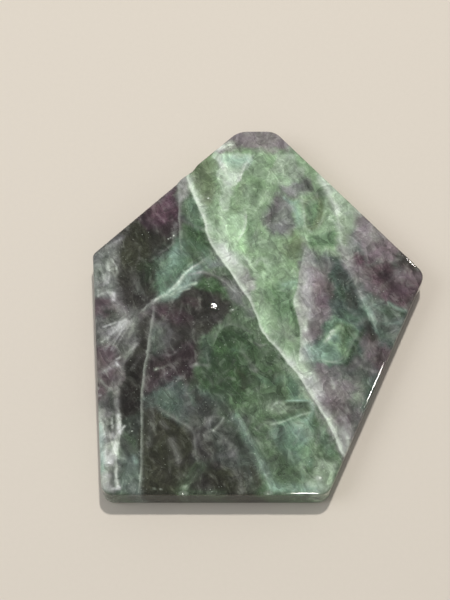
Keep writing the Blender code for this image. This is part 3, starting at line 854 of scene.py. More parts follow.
    ("pearl", 1.1, 0.5, ((13.2, -20.4), (15.4, -25.2))),
    ("teal_grey", 2.4, 0.5, ((19.6, -19), (23, -19.4), (26, -20.6))),
    ("night_purple", 1.5, 0.5, ((21.4, -27.6), (22.2, -31.4))),
    ("sage", 1.4, 0.35, ((26, -22.4), (24.6, -25.4))),
    # lower field
    ("teal_milk", 0.3, 0.75, ((6.8, -26.4), (9.4, -26.2), (12, -26.2))),
    ("teal_milk", 0.7, 0.45, ((12.6, -26.4), (13.6, -28.2), (13, -30.4), (10.8, -32))),
    ("teal_milk", 0.38, 0.25, ((5.8, -31.8), (8.2, -30.8), (10.2, -29.9))),
    ("sage", 0.5, 0.5, ((3.6, -29.2), (3, -27.6), (4.8, -26.4), (7.2, -27.2), (6.8, -29), (4.4, -29.4))),
    ("slate", 1.1, 0.5, ((8.6, -27.6), (11.2, -27.8))),
    ("slate", 1.3, 0.3, ((4.4, -41.4), (6.2, -45))),
    ("forest", 1.4, 0.3, ((15.6, -37), (16.4, -39.6))),
    ("teal_milk", 1.6, 0.5, ((9.2, -33.6), (11.2, -36.6))),
    ("teal_milk", 0.6, 0.35, ((9, -40), (10.2, -43.2), (10.8, -46.4))),
    ("milk_green", 1.2, 0.7, ((12.2, -47.6), (14.8, -48.4))),
    ("teal_milk", 1.4, 0.5, ((3.3, -48.6), (8.3, -49.2), (13.8, -49.2))),
    ("slate", 1.6, 0.5, ((-3.2, -31.5), (-1.2, -35.5))),
    ("milk", 0.62, 0.56, ((14.4, -46.2), (14.8, -46.4))),
    ("teal_milk", 1.2, 0.34, (
        (-5.6, -30.2), (-4.2, -33), (-2.6, -37), (0, -41.4), (1.8, -45.2), (3.4, -49),
    )),
    ("teal_milk", 0.5, 0.25, ((-5.8, -29.8), (-7.6, -31.6))),
    ("ash", 0.38, 0.37, ((-9, -30.6), (-8.8, -31.6), (-9.8, -33), (-11.4, -34.4))),
    ("ash", 0.7, 0.4, ((-12.6, -31), (-13.6, -33), (-12.6, -35.6))),
    ("ash", 0.5, 0.31, ((-13.8, -35), (-12.8, -36))),
    ("ash", 0.8, 0.25, ((-9.8, -37), (-7.2, -36.4), (-6.6, -40))),
    ("ash", 0.62, 0.24, ((-9.6, -40.6), (-7.6, -41.2), (-5.6, -40.4))),
    ("slate", 1.4, 0.5, ((3, -31.6), (5.6, -34.4), (4.6, -37.4))),
    ("teal_milk", 0.44, 0.28, ((10.6, -31.4), (12.6, -33.4), (13, -36))),
    ("ash", 0.44, 0.28, ((13, -26.8), (14.2, -29), (14.8, -31.4))),
    ("ash", 0.9, 0.3, ((-6.6, -43), (-4.8, -46.4), (-4.6, -49.6))),
    ("sage", 1.7, 0.5, ((2.8, -27.6), (4.6, -28.2), (6, -27.4), (7.6, -28))),
    ("milk_green", 0.28, 0.45, ((3, -32.6), (6, -31.6), (10, -30.2), (13, -29.2))),
    ("milk", 0.25, 0.5, ((-11.6, -34.2), (-9.8, -32.6), (-8.8, -30.6))),
    ("ash", 0.25, 0.5, ((-13.4, -30.8), (-13.6, -33), (-12, -33.8))),
    ("ash", 0.22, 0.5, ((-10, -30.6), (-12, -30.4), (-13.2, -31.4))),
    ("milk_green", 0.3, 0.4, ((3.2, -28.6), (3.6, -27.2), (5, -26.6), (6.4, -27), (6.6, -28.4))),
    ("mist", 0.5, 0.4, ((-9.4, -35.4), (-7.8, -36.8))),
    ("mist", 0.4, 0.4, ((-6.8, -37.6), (-5.4, -39.4))),
    ("sage", 1.1, 0.5, ((9.6, -31.8), (11.6, -33), (12.6, -35.4))),
    ("leaf", 1.4, 0.5, ((12.8, -37.6), (11.4, -40), (10.8, -43))),
    ("sage", 1.3, 0.5, ((14.2, -39.6), (14.8, -42.2), (16.6, -44))),
    ("sea_green", 1.2, 0.5, ((3.6, -34.8), (4.6, -37.2), (7.6, -40.6), (8.4, -42.4))),
    ("fern", 1.3, 0.5, ((-1.6, -31.6), (-0.4, -34.8))),
    ("sea_green", 1.3, 0.4, ((17.6, -39.6), (16.2, -36.4), (15.4, -33.4))),
    ("teal_grey", 1.8, 0.4, ((-5, -41.4), (-3, -44.6), (-2, -48.4))),
    ("leaf", 1.4, 0.5, ((9.8, -44), (12, -46))),
    ("forest", 0.5, 0.6, ((7.2, -27.1), (9.6, -27.2), (11.8, -26.9))),
    ("slate", 1.4, 0.6, ((-7.6, -41.4), (-6, -42.8))),
    # green core
    ("milk", 0.5, 0.31, ((-6.8, -1.8), (-6.2, -1.4))),
    ("forest", 1.2, 0.6, ((-8.4, -8.6), (-5, -8.8), (-1.4, -10))),
    ("ash", 0.62, 0.4, ((-1.1, -18), (-0.7, -18.2))),
    ("forest", 1, 0.5, ((1.2, -18.6), (3.4, -15.6))),
    ("sea_green", 0.7, 0.4, ((-6.6, -12.6), (-4.2, -13.4), (-2.6, -12))),
    ("ash", 0.38, 0.31, ((-2.4, -10.2), (0.2, -11.6), (2, -11.2))),
    ("ash", 0.38, 0.25, ((-10, -21.4), (-7.8, -20), (-6, -20.6))),
    ("sea_green", 1, 0.45, ((0.4, -20.4), (3, -21.6), (5.6, -20.4))),
    ("olive_black", 1, 0.5, ((-5, -18.4), (-3, -20.6), (-3.6, -23))),
    ("forest", 1.6, 0.6, ((-9, -9.6), (-5.4, -9.4), (-2.4, -11.4))),
    ("forest", 1.5, 0.6, ((-11.4, -14.6), (-8.4, -15.4), (-5, -14.6))),
    ("forest", 1.1, 0.6, ((-8.4, -21.4), (-6.6, -24), (-4.4, -26.4))),
    ("forest", 1, 0.55, ((-6, -15.4), (-3.6, -17.2), (-1.6, -16.6))),
    ("forest", 1, 0.6, ((4.6, -14.2), (6.6, -15.6))),
    ("forest", 0.9, 0.5, ((2.4, -17), (3.6, -19.8), (3, -21.6))),
    ("sage", 0.25, 0.5, ((8, -19.6), (9.4, -22.4), (10.4, -25.6))),
    ("deep_teal", 1.8, 0.5, ((-15.6, -23), (-12.4, -25), (-9.4, -26))),
    ("forest", 1.8, 0.6, ((-12.8, -13.4), (-12, -17), (-10.4, -19.6))),
    ("ink", 1.4, 0.4, ((-13, -28.6), (-12, -30.6))),
    ("deep_teal", 1.6, 0.5, ((-13.5, -10), (-13, -15))),
    # smoky middle
    ("ash", 0.9, 0.4, ((-27.2, -3), (-27.4, -8), (-28, -13))),
    ("moss", 1.6, 0.35, ((-16.7, -22), (-17.2, -26.5))),
    ("moss", 1.6, 0.4, ((-9.7, -29.5), (-6.7, -33))),
    ("wine_purple", 1.6, 0.45, ((-24.4, -2.6), (-20.2, -4))),
    ("wine_purple", 1.2, 0.4, ((-18.6, 1), (-15.6, 0))),
    ("milk", 0.38, 0.37, ((-26.2, -18.1), (-25.4, -17.7))),
    ("ash", 0.31, 0.31, ((-25.6, -17.8), (-23.6, -17.2), (-21, -16.2))),
    ("ash", 0.62, 0.4, ((-16.8, -16.9), (-15.6, -16.4))),
    ("ash", 0.38, 0.25, ((-15.8, -16.4), (-13, -17))),
    ("teal_grey", 1.8, 0.55, ((-27.4, -26.2), (-23.6, -25.8), (-19.6, -23))),
    ("ash", 0.44, 0.31, ((-25.4, -27.8), (-22.6, -30), (-19.2, -31.8), (-16.8, -33.6))),
    ("ash", 0.5, 0.25, ((-16.4, -34.6), (-15.8, -37.6), (-16, -40.6))),
    ("ash", 0.44, 0.25, ((-18.2, -18.6), (-20.8, -21.6), (-23.2, -23))),
    ("fog", 1.4, 0.5, ((-18.2, -25.6), (-16.6, -29.6), (-15.2, -32))),
    ("ash", 0.38, 0.25, ((-24.4, -13.6), (-22.4, -14.4), (-20.6, -13.2))),
    ("wine_purple", 1.8, 0.3, ((-24.6, -1.6), (-21.4, -2.6), (-18, -4.6))),
    ("teal_grey", 2, 0.6, ((-26.2, -8), (-26, -13))),
    # front dark
    ("ash", 1.1, 0.45, ((-21.6, -36.8), (-20.8, -39.2), (-19.8, -41.8))),
    ("ash", 0.62, 0.32, ((-27.2, -36.6), (-27, -37.8))),
    ("teal_milk", 0.6, 0.4, ((-31, -40.6), (-30.4, -42))),
    ("ash", 0.6, 0.35, ((-24.2, -31.8), (-22.8, -33.4))),
    ("moss", 1.2, 0.6, ((-38.2, -50.3), (-33.2, -50.6))),
    ("moss", 1.2, 0.6, ((-19.2, -50.2), (-9.2, -50.5))),
    ("mint", 0.8, 0.3, ((-18.6, -48.8), (-17.8, -48.6))),
    # Painted glints: three tiny white dots on the front edge, where small chips catch the light.
    ("milk", 0.5, 0.5, ((-18.4, -48.4), (-17.9, -48.3))),
    ("milk", 0.22, 0.5, ((-26, -48.9), (-25.6, -48.9))),
    ("milk", 0.18, 0.5, ((-24.4, -49), (-24, -49))),
    ("moss", 1.1, 0.5, ((-33.4, -35), (-31.2, -36.6), (-30.6, -39.4))),
    ("fog", 1.6, 0.5, ((-18.6, -30.6), (-15.4, -35), (-13, -39.4))),
    ("fog", 1.4, 0.4, ((-9.8, -33), (-8, -37), (-6.4, -41))),
    ("mist", 0.9, 0.35, ((-10.4, -29), (-12.2, -32), (-12.6, -36))),
    ("fog", 1.2, 0.4, ((-27, -26.6), (-26.6, -31.6), (-27.2, -37))),
    ("moss", 1.8, 0.45, ((-14.6, -43.4), (-17.2, -46), (-18.6, -49))),
    # purple wedge
    ("lilac_grey", 0.8, 0.35, ((-25.6, 29.4), (-23.4, 31.8), (-22, 33.6))),
)
# How far a wisp is felt, in times its width.
WISP_REACH = 2.2
# Fibres along the wisps and healed cracks: their size, and their least width as a share of the wisp's.
FIBRE_LENGTH = 3.0
FIBRE_WIDTH = 0.45
FIBRE_DEPTH = 2.0
FIBRE_SHARE = 0.4

# Faint cracks too small to place one by one, along the planes in which fluorite splits, in degrees.
MINOR_CRACKS = 420
MINOR_SEED = 11
SPLIT_DIRECTIONS = (-60.0, -88.0, 38.0)
SPLIT_SPREAD = 12
MINOR_BEND = 0.25
MINOR_LENGTHS = (1.5, 6.5)
MINOR_WIDTHS = (0.25, 0.90)
MINOR_STRENGTHS = (0.06, 0.20)
MINOR_PALE_SHARE = 0.75

# Small pits and flakes at the surface, drawn as white specks of painted glint where they catch the light: x,
# y and radius.
PAINTED_GLINTS = (
    (-23.2, 18.3, 0.24),
    (-22.6, 18.7, 0.20),
    (-21.8, 19.3, 0.22),
    (-12.8, 30.2, 0.24),
    (-31.4, -34.2, 0.22),
    (6.5, 39.7, 0.24),
    (14.9, -46.2, 0.32),
    (13.0, 17.3, 0.12),
    (-25.8, -18.0, 0.22),
    (-6.4, -1.6, 0.20),
)


# ---------------------------------------------------------------- settings


class FluoriteSlab(bpy.types.PropertyGroup):
    """Sizes of the slab's body."""

    top_edge: bpy.props.FloatProperty(
        name="Top edge radius", description="Rounding of the polished top edge", default=1.0 * MM,
        min=0.2 * MM, max=1.8 * MM, subtype="DISTANCE", unit="LENGTH", precision=5,
    )
    bottom_edge: bpy.props.FloatProperty(
        name="Bottom edge radius", description="Rounding of the underside's edge", default=0.8 * MM,
        min=0.2 * MM, max=1.8 * MM, subtype="DISTANCE", unit="LENGTH", precision=5,
    )
    polish_wave: bpy.props.FloatProperty(
        name="Polish wave", description="How deep the polished top dips between its high places",
        default=0.006 * MM, min=0.0, max=0.1 * MM, subtype="DISTANCE", unit="LENGTH", precision=6,
    )
    top_grain: bpy.props.FloatProperty(
        name="Top mesh size", description="Distance between points on the top face", default=0.33 * MM,
        min=0.3 * MM, max=2.0 * MM, subtype="DISTANCE", unit="LENGTH", precision=5,
    )
    bottom_grain: bpy.props.FloatProperty(
        name="Underside mesh size", description="Distance between points on the underside", default=0.95 * MM,
        min=0.5 * MM, max=4.0 * MM, subtype="DISTANCE", unit="LENGTH", precision=5,
    )
    absorption: bpy.props.FloatProperty(
        name="Absorption", description="How strongly clear stone darkens with depth, per metre",
        default=160.0, min=0.0, max=1000.0,
    )
    absorption_colour: colour_property(
        "Absorption colour", "#a9b9a6", "What is left of white light deep in clear stone"
    )


class FluoriteStudio(bpy.types.PropertyGroup):
    """The floor, the lights and the camera."""

    floor_colour: colour_property("Floor", "#d9d2c8", "Plain pale floor")
    room_light: bpy.props.FloatProperty(
        name="Room light", description="Even light from all around", default=0.33, min=0.0, max=5.0
    )
    key_power: bpy.props.FloatProperty(
        name="Key light", description="Power of the soft light high behind the slab", default=6.0, min=0.0,
        subtype="POWER", unit="POWER",
    )
    fill_power: bpy.props.FloatProperty(
        name="Fill light", description="Power of the soft light on the left", default=2.2, min=0.0,
        subtype="POWER", unit="POWER",
    )
    lens: bpy.props.FloatProperty(
        name="Lens", description="Focal length for a 36 mm sensor", default=96.0, min=10.0, unit="CAMERA"
    )


# ---------------------------------------------------------------- plan geometry

# How far apart the noise of one seed lies from the next, and how much weaker its finer octaves are.
NOISE_STEP = (17.3, 5.1, 9.7)
NOISE_FALLOFF = 0.9


def corner_arc(before, corner, after, radius):
    """Points of the arc that rounds one corner."""
    to_before = (before - corner).normalized()
    to_after = (after - corner).normalized()
    half_angle = to_before.angle(to_after) / 2
    centre = corner + (to_before + to_after).normalized() * (radius / math.sin(half_angle))
    start = corner + to_before * (radius / math.tan(half_angle)) - centre
    turned = math.pi - 2 * half_angle
    side = -1.0 if to_before.cross(to_after) > 0 else 1.0
    steps = max(2, math.ceil(turned / ARC_STEP))
    points = []
    for i in range(steps + 1):
        angle = side * turned * i / steps
        cos, sin = math.cos(angle), math.sin(angle)
        points.append(centre + Vector((start.x * cos - start.y * sin, start.x * sin + start.y * cos)))
    return points


def rounded_outline():
    """The slab's outline in mm, clockwise, with its box centred on the origin."""
    corners = [Vector((corner.x, corner.y)) for corner in CORNERS.values()]
    radii = [corner.radius for corner in CORNERS.values()]
    points = []
    for i, corner in enumerate(corners):
        points += corner_arc(corners[i - 1], corner, corners[(i + 1) % len(corners)], radii[i])
    points = np.array(points)
    return points - (points.min(0) + points.max(0)) / 2


def evenly_spaced(points, spacing, closed):
    """The same line with its points spaced evenly along it."""
    line = np.vstack((points, points[:1])) if closed else np.asarray(points, float)
    travelled = np.concatenate(([0.0], np.cumsum(np.hypot(*np.diff(line, axis=0).T))))
    count = max(2, round(travelled[-1] / spacing))
    at = np.arange(count if closed else count + 1) * travelled[-1] / count
    return np.column_stack([np.interp(at, travelled, line[:, axis]) for axis in (0, 1)])


def outward_normals(ring):
    """Level directions out of the slab at each point of a clockwise ring."""
    along = np.roll(ring, -1, axis=0) - np.roll(ring, 1, axis=0)
    along /= np.hypot(*along.T)[:, None]
    return np.column_stack((-along[:, 1], along[:, 0]))


def inside(points, outline):
    """Which points lie inside a closed outline."""
    crossings = np.zeros(len(points), bool)
    x, y = points.T
    for start, end in zip(outline, np.roll(outline, -1, axis=0)):
        if start[1] == end[1]:
            continue
        spans = (start[1] > y) != (end[1] > y)
        crossings ^= spans & (x < start[0] + (y - start[1]) * (end[0] - start[0]) / (end[1] - start[1]))
    return crossings


def hexagonal_points(outline, spacing):
    """Points in a honeycomb pattern that fill an outline."""
    low, high = outline.min(0), outline.max(0)
    row_step = spacing * math.sqrt(3) / 2
    rows = np.arange(low[1], high[1], row_step)
    columns = np.arange(low[0], high[0], spacing)
    points = np.array([(x + spacing / 2 * (i % 2), y) for i, y in enumerate(rows) for x in columns])
    return points[inside(points, outline)]


def nearest_segments(points, line):
    """Distance to an open line, its side (1 left, -1 right), and how far along the nearest place is."""
    distance = np.full(len(points), np.inf)
    side = np.ones(len(points))
    along_line = np.zeros(len(points))
    travelled = 0.0
    for start, end in zip(line, line[1:]):
        run = end - start
        length = math.hypot(*run)
        away = points - start
        share = np.clip(away @ run / length**2, 0, 1)
        found = np.hypot(*(away - share[:, None] * run).T)
        closer = found < distance
        distance[closer] = found[closer]
        side[closer] = np.where(run[0] * away[:, 1] - run[1] * away[:, 0] >= 0, 1.0, -1.0)[closer]
        along_line[closer] = (travelled + share * length)[closer]
        travelled += length
    return distance, side, along_line, travelled


def rows_near(points, path, margin):
    """The numbers of the points within a margin of a path's box."""
    path = np.asarray(path, float)
    return np.flatnonzero(((points > path.min(0) - margin) & (points < path.max(0) + margin)).all(1))


def smooth_step(low, high, values):
    share = np.clip((values - low) / (high - low), 0, 1)
    return share * share * (3 - 2 * share)


def smooth_line(path, spacing):
    """A given path with its corners cut twice, at an even spacing."""
    line = np.array(path, float)
    for _ in range(2):
        near = line[:-1] * 0.75 + line[1:] * 0.25
        far = line[:-1] * 0.25 + line[1:] * 0.75
        cut = np.empty((2 * len(near), 2))
        cut[0::2], cut[1::2] = near, far
        line = np.vstack((line[:1], cut, line[-1:]))
    return evenly_spaced(line, spacing, closed=False)


def noise_at(points, size, seed, octaves=1):
    """Smooth noise, from about -1 to 1, at points in mm, with features of the given size."""
    offset = Vector([seed * step for step in NOISE_STEP])
    return np.array(
        [noise.fractal(Vector(point) / size + offset, NOISE_FALLOFF, 2.0, octaves) for point in points]
    )


# ---------------------------------------------------------------- the stone's pattern

# How far the pattern is ruffled, in mm, by the size of the ruffles.
CRACK_RUFFLE = {4.0: 0.25, 1.4: 0.12}
ZONE_RUFFLE = {7.0: 1.4, 2.4: 0.8, 0.9: 0.35}
# Slow unevenness: its size in mm, and how much it moves a zone's edge, in times the edge's width.
UNEVEN_SIZE = 3.0
ZONE_UNEVENNESS = 0.3
# How strong the healed cracks are, and how much the unevenness changes that.
VEIL_STRENGTH, VEIL_UNEVENNESS = 0.85, 0.45
# Each kind of noise and each path of fibres has its own seed, counted up from these.
CRACK_SEED, UNEVEN_SEED, ZONE_SEED, VEIL_SEED, WISP_SEED, MINOR_WISP_SEED = 1, 8, 21, 40, 60, 300
# A crack's line doesn't reach as far as this. Clouds and lines fainter than these aren't drawn.
LINE_REACH = 3.0
FAINTEST_CLOUD, FAINTEST_LINE = 0.01, 0.02
# Farther than anything is felt.
FAR = 9.0


class StonePattern:
    """Colour and clarity at each point of the body, laid on layer by layer."""

    def __init__(self, points, colours):
        self.colours = colours
        self.points = points
        self.depth = THICKNESS - points[:, 2]
        self.colour = np.tile(np.array(getattr(colours, GROUND_COLOUR)), (len(points), 1))
        self.clarity = np.full(len(points), CLARITY[GROUND_COLOUR])
        self.crack_places = points[:, :2] + self.ruffle(CRACK_RUFFLE, CRACK_SEED)
        self.wisp_places = self.crack_places - self.depth[:, None] * ZONE_LEAN
        self.zone_places = self.wisp_places + self.ruffle(ZONE_RUFFLE, ZONE_SEED)
        self.uneven = noise_at(points, UNEVEN_SIZE, UNEVEN_SEED, 3)
        self.veils = {name: self.veil_field(veil) for name, veil in VEILS.items()}

    def ruffle(self, sizes, seed):
        """Sideways shifts made of ruffles of several sizes."""
        shifts = np.zeros((len(self.points), 2))
        for number, (size, amount) in enumerate(sizes.items()):
            for axis in (0, 1):
                shifts[:, axis] += amount * noise_at(self.points, size, seed + 2 * number + axis)
        return shifts

    def lay(self, rows, weight, name):
        """Blends one of the stone's colours over some points."""
        self.colour[rows] += weight[:, None] * (np.array(getattr(self.colours, name)) - self.colour[rows])
        self.clarity[rows] += weight * (CLARITY[name] - self.clarity[rows])

    def lay_zones(self):
        for zone in ZONES.values():
            places = self.wisp_places if zone.edge < CLEAN_EDGE else self.zone_places
            rows = rows_near(places, zone.outline, zone.edge)
            at = places[rows]
            outline = np.array(zone.outline, float)
            distance = nearest_segments(at, np.vstack((outline, outline[:1])))[0]
            within = np.where(inside(at, outline), distance, -distance)
            within += self.uneven[rows] * zone.edge * ZONE_UNEVENNESS
            self.lay(rows, smooth_step(-zone.edge / 2, zone.edge / 2, within), zone.colour)

    def veil_field(self, veil):
        """Signed distance to a healed crack in mm, its strength from 0 to 1, and how far along it."""
        line = smooth_line(veil.path, VEIL_STEP)
        distance, side, along, length = nearest_segments(self.crack_places, line)
        signed = distance * side - veil.dip * self.depth
        taper = smooth_step(0, VEIL_TAPER, along) * smooth_step(0, VEIL_TAPER, length - along)
        return signed, np.clip(taper * (VEIL_STRENGTH + VEIL_UNEVENNESS * self.uneven), 0, 1), along

    def fibres(self, rows, along, across, width, seed):
        """Streaks that run along a path, from 0 to 1."""
        across = across / max(FIBRE_WIDTH, FIBRE_SHARE * width)
        where = np.column_stack((along / FIBRE_LENGTH, across, self.depth[rows] / FIBRE_DEPTH))
        return np.clip(0.5 + 0.6 * noise_at(where, 1.0, seed, 2), 0, 1)

    def lay_veils(self):
        """Clouds the stone on the side where each healed crack lies under the surface."""
        for number, (name, veil) in enumerate(VEILS.items()):
            signed, strength, along = self.veils[name]
            felt = (signed > VEIL_START) & (signed < VEIL_END * veil.reach) & (strength > FAINTEST_CLOUD)
            rows = np.flatnonzero(felt)
            over = np.exp(-np.clip(signed[rows], 0, None) / (veil.reach * VEIL_FADE))
            over *= smooth_step(VEIL_START, VEIL_FULL, signed[rows])
            streaks = 0.6 + 0.8 * self.fibres(rows, along[rows], signed[rows], veil.reach, VEIL_SEED + number)
            self.lay(rows, np.clip(veil.glow * strength[rows] * over * streaks, 0, 1), "milk")

    def lay_wisp(self, wisp, seed):
        """Draws one wisp over the stone, stopped where it would cross a barrier."""
        rows = rows_near(self.wisp_places, wisp.path, WISP_REACH * wisp.width)
        if len(rows) == 0:
            return
        line = smooth_line(wisp.path, wisp.width)
        distance, side, along, _ = nearest_segments(self.wisp_places[rows], line)
        streaks = 0.55 + 0.9 * self.fibres(rows, along, distance * side, wisp.width, seed)
        weight = wisp.strength * np.exp(-((distance / wisp.width) ** 2)) * streaks
        middle = rows[np.argmin(np.hypot(*(self.wisp_places[rows] - np.mean(wisp.path, axis=0)).T))]
        for name in BARRIERS:
            signed = self.veils[name][0]
            if abs(signed[middle]) < BARRIER_REACH:
                own_side = -1.0 if signed[middle] < BARRIER_SIDE else 1.0
                weight *= smooth_step(*BARRIER_STOP, own_side * signed[rows])
        self.lay(rows, np.clip(weight, 0, 1), wisp.colour)

    def lay_wisps(self):
        for number, row in enumerate(WISPS):
            self.lay_wisp(Wisp(*row), WISP_SEED + number)

    def lay_minor_cracks(self):
        chance = random.Random(MINOR_SEED)
        low, high = self.points.min(0), self.points.max(0)
        for number in range(MINOR_CRACKS):
            x, y = chance.uniform(low[0], high[0]), chance.uniform(low[1], high[1])
            angle = math.radians(chance.choice(SPLIT_DIRECTIONS) + chance.gauss(0, SPLIT_SPREAD))
            bend, length = chance.gauss(0, MINOR_BEND), chance.uniform(*MINOR_LENGTHS)
            width, strength = chance.uniform(*MINOR_WIDTHS), chance.uniform(*MINOR_STRENGTHS)
            colour = "ash" if chance.random() < MINOR_PALE_SHARE else "slate"
            path = [(x, y)]
            for step in range(3):
                x += math.cos(angle + bend * step) * length / 3
                y += math.sin(angle + bend * step) * length / 3
                path.append((x, y))
            self.lay_wisp(Wisp(colour, width, strength, tuple(path)), MINOR_WISP_SEED + number)

    def nearest_crack(self):
        """Signed distance to the nearest healed crack, and how bright its line is there."""
        closest = np.full(len(self.points), np.inf)
        signed_best, bright_best = np.full(len(self.points), FAR), np.zeros(len(self.points))
        for name, veil in VEILS.items():
            signed, strength, _ = self.veils[name]
            closer = (np.abs(signed) < closest) & (strength > FAINTEST_LINE)
            closest[closer] = np.abs(signed)[closer]
            signed_best[closer] = signed[closer]
            bright_best[closer] = (veil.line * strength)[closer]
        return np.clip(signed_best, -LINE_REACH, LINE_REACH), bright_best


# ---------------------------------------------------------------- the slab's body

RIM_STEP = 0.45
BOTTOM_EDGE_RINGS = 5
WALL_RINGS = 11
TOP_EDGE_RINGS = 8
EDGE_UNEVENNESS = 0.10
EDGE_WAVE_SIZE = 9.0
POLISH_WAVE_SIZE = 14.0
EDGE_SEED, POLISH_SEED = 5, 6
# Points this close to the top's height belong to the top.
TOP_MARGIN = 0.01
# The flat faces' outermost points stand this share of the mesh size in from the rim.
CAP_MARGIN = 0.75
GROOVE_HALF_WIDTH = 0.35


def edge_profile():
    """The rings of the wall, from the underside up: their part, and how far in and up each stands.

    In the two rounded edges both are shares of that edge's radius, measured from its face. On the
    wall the second is a share of the wall's height.
    """
    rings = []
    for i in range(BOTTOM_EDGE_RINGS + 1):
        angle = math.pi / 2 * i / BOTTOM_EDGE_RINGS
        rings.append(("bottom", 1 - math.sin(angle), 1 - math.cos(angle)))
    for i in range(1, WALL_RINGS):
        rings.append(("wall", 0.0, i / WALL_RINGS))
    for i in range(TOP_EDGE_RINGS + 1):
        angle = math.pi / 2 * i / TOP_EDGE_RINGS
        rings.append(("top", 1 - math.cos(angle), 1 - math.sin(angle)))
    return rings


def rim_points(settings):
    """Rings of points from the underside's flat edge, up the wall, to the top's flat edge, in mm."""
    outline = evenly_spaced(rounded_outline(), RIM_STEP, closed=True)
    outward = outward_normals(outline)
    flat = np.column_stack((outline, np.zeros(len(outline))))
    uneven = 1 + EDGE_UNEVENNESS * noise_at(flat, EDGE_WAVE_SIZE, EDGE_SEED) - EDGE_UNEVENNESS / 2
    top = settings.top_edge / MM * uneven
    bottom = settings.bottom_edge / MM * uneven
    rings = []
    for part, inset_share, height_share in edge_profile():
        if part == "bottom":
            inset, height = bottom * inset_share, bottom * height_share
        elif part == "wall":
            inset, height = 0 * top, bottom + (THICKNESS - top - bottom) * height_share
        else:
            inset, height = top * inset_share, THICKNESS - top * height_share
        rings.append(np.column_stack((outline - outward * inset[:, None], height)))
    return rings


def cap(ring, grain):
    """Points inside a ring and the triangles that fill it, numbered from the ring's points on."""
    border = ring[:, :2]
    inner = border - outward_normals(border) * grain * CAP_MARGIN
    points = np.vstack((border, hexagonal_points(inner, grain)))
    found, _, triangles, origins, _, _ = geometry.delaunay_2d_cdt(
        [Vector(point) for point in points], [], [list(range(len(border)))], 1, 1e-7
    )
    if len(found) != len(points):
        raise RuntimeError("the cap's points ran together")
    number = [origin[0] for origin in origins]
    return points[len(border) :], [[number[i] for i in triangle] for triangle in triangles]


def carve_chips(points, top_edge):
    """Moves points that lie inside a chip's ball out onto its surface. Returns how chipped each is."""
    outline = evenly_spaced(rounded_outline(), RIM_STEP, closed=True)
    outward = outward_normals(outline)
    chipped = np.zeros(len(points))
    for chip in CHIPS.values():
        nearest = np.argmin(np.hypot(*(outline - (chip.x, chip.y)).T))
        level = outward[nearest]
        away = np.array((*(level * math.cos(CHIP_SLOPE)), math.sin(CHIP_SLOPE)))
        edge = np.array((*(outline[nearest] - level * top_edge), THICKNESS - top_edge)) + away * top_edge
        centre = edge + away * (chip.radius - chip.depth)
        offset = points - centre
        distance = np.linalg.norm(offset, axis=1)
        bitten = distance < chip.radius
        points[bitten] = centre + offset[bitten] * (chip.radius / distance[bitten])[:, None]
        chipped[bitten] = smooth_step(0, chip.depth * 0.5, chip.radius - distance[bitten])
    return chipped


def slab_shape(settings):
    """Points in mm and faces of the whole body, and which points belong to the wall and its edges."""
    rings = rim_points(settings)
    count = len(rings[0])
    points = [np.vstack(rings)]
    faces = []
    for row in range(len(rings) - 1):
        for i in range(count):
            j = (i + 1) % count
            low, high = row * count, (row + 1) * count
            faces.append((low + i, low + j, high + j, high + i))
    rim_count = len(points[0])
    for ring, start, grain, height in (
        (rings[-1], rim_count - count, settings.top_grain / MM, THICKNESS),
        (rings[0], 0, settings.bottom_grain / MM, 0.0),
    ):
        inner, triangles = cap(ring, grain)
        first_inner = sum(len(block) for block in points)
        for triangle in triangles:
            faces.append([start + i if i < count else first_inner + i - count for i in triangle])
        points.append(np.column_stack((inner, np.full(len(inner), height))))
    points = np.vstack(points)
    return points, faces, np.arange(len(points)) < rim_count


def press_top(points, pattern, wave):
    """Lowers the top face where the polish has dipped and along the worn cracks."""
    top = np.flatnonzero(points[:, 2] > THICKNESS - TOP_MARGIN)
    waves = np.clip(noise_at(points[top], POLISH_WAVE_SIZE, POLISH_SEED, 2), -1, 1)
    drop = wave * (0.5 + 0.5 * waves)
    for name, veil in VEILS.items():
        signed, strength, _ = pattern.veils[name]
        drop += veil.groove * strength[top] * np.exp(-((signed[top] / GROOVE_HALF_WIDTH) ** 2))
    points[top, 2] -= drop


def painted_glint_distance(points):
    """How far each point lies outside the nearest painted glint's rim, in mm."""
    away = np.full(len(points), FAR)
    for x, y, radius in PAINTED_GLINTS:
        away = np.minimum(away, np.linalg.norm(points - (x, y, THICKNESS), axis=1) - radius)
    return away


def add_attribute(mesh, name, values):
    """Stores one number or one vector for each point."""
    single = values.ndim == 1
    attribute = mesh.attributes.new(name, "FLOAT" if single else "FLOAT_VECTOR", "POINT")
    attribute.data.foreach_set("value" if single else "vector", values.astype(np.float32).ravel())


def build_slab(settings, colours):
    points, faces, on_rim = slab_shape(settings)
    chipped = carve_chips(points, settings.top_edge / MM)
    pattern = StonePattern(points, colours)
    pattern.lay_zones()
    pattern.lay_veils()
    pattern.lay_wisps()
    pattern.lay_minor_cracks()
    crack_distance, crack_brightness = pattern.nearest_crack()
    press_top(points, pattern, settings.polish_wave / MM)

    mesh = bpy.data.meshes.new("polished_slab")
    mesh.from_pydata(np.clip(points * MM, *CAD_BOUNDS).tolist(), [], faces)
    add_attribute(mesh, "stone colour", np.clip(pattern.colour, 0, 1))
    add_attribute(mesh, "clarity", np.clip(pattern.clarity, 0, 1))
    # The third column is the distance to the painted glints.
    crack = np.column_stack((crack_distance, crack_brightness, painted_glint_distance(points)))
    add_attribute(mesh, "crack", crack)
    add_attribute(mesh, "chipped", chipped)
    add_attribute(mesh, "rim", on_rim)
    turned = bmesh.new()
    turned.from_mesh(mesh)
    bmesh.ops.recalc_face_normals(turned, faces=turned.faces)
    turned.to_mesh(mesh)
    turned.free()
    mesh.shade_smooth()
    slab = bpy.data.objects.new("polished_slab", mesh)
    bpy.context.scene.collection.objects.link(slab)
    return slab


# ---------------------------------------------------------------- materials

MIX_FACTOR, MIX_A, MIX_B, MIX_RESULT = 0, 6, 7, 2
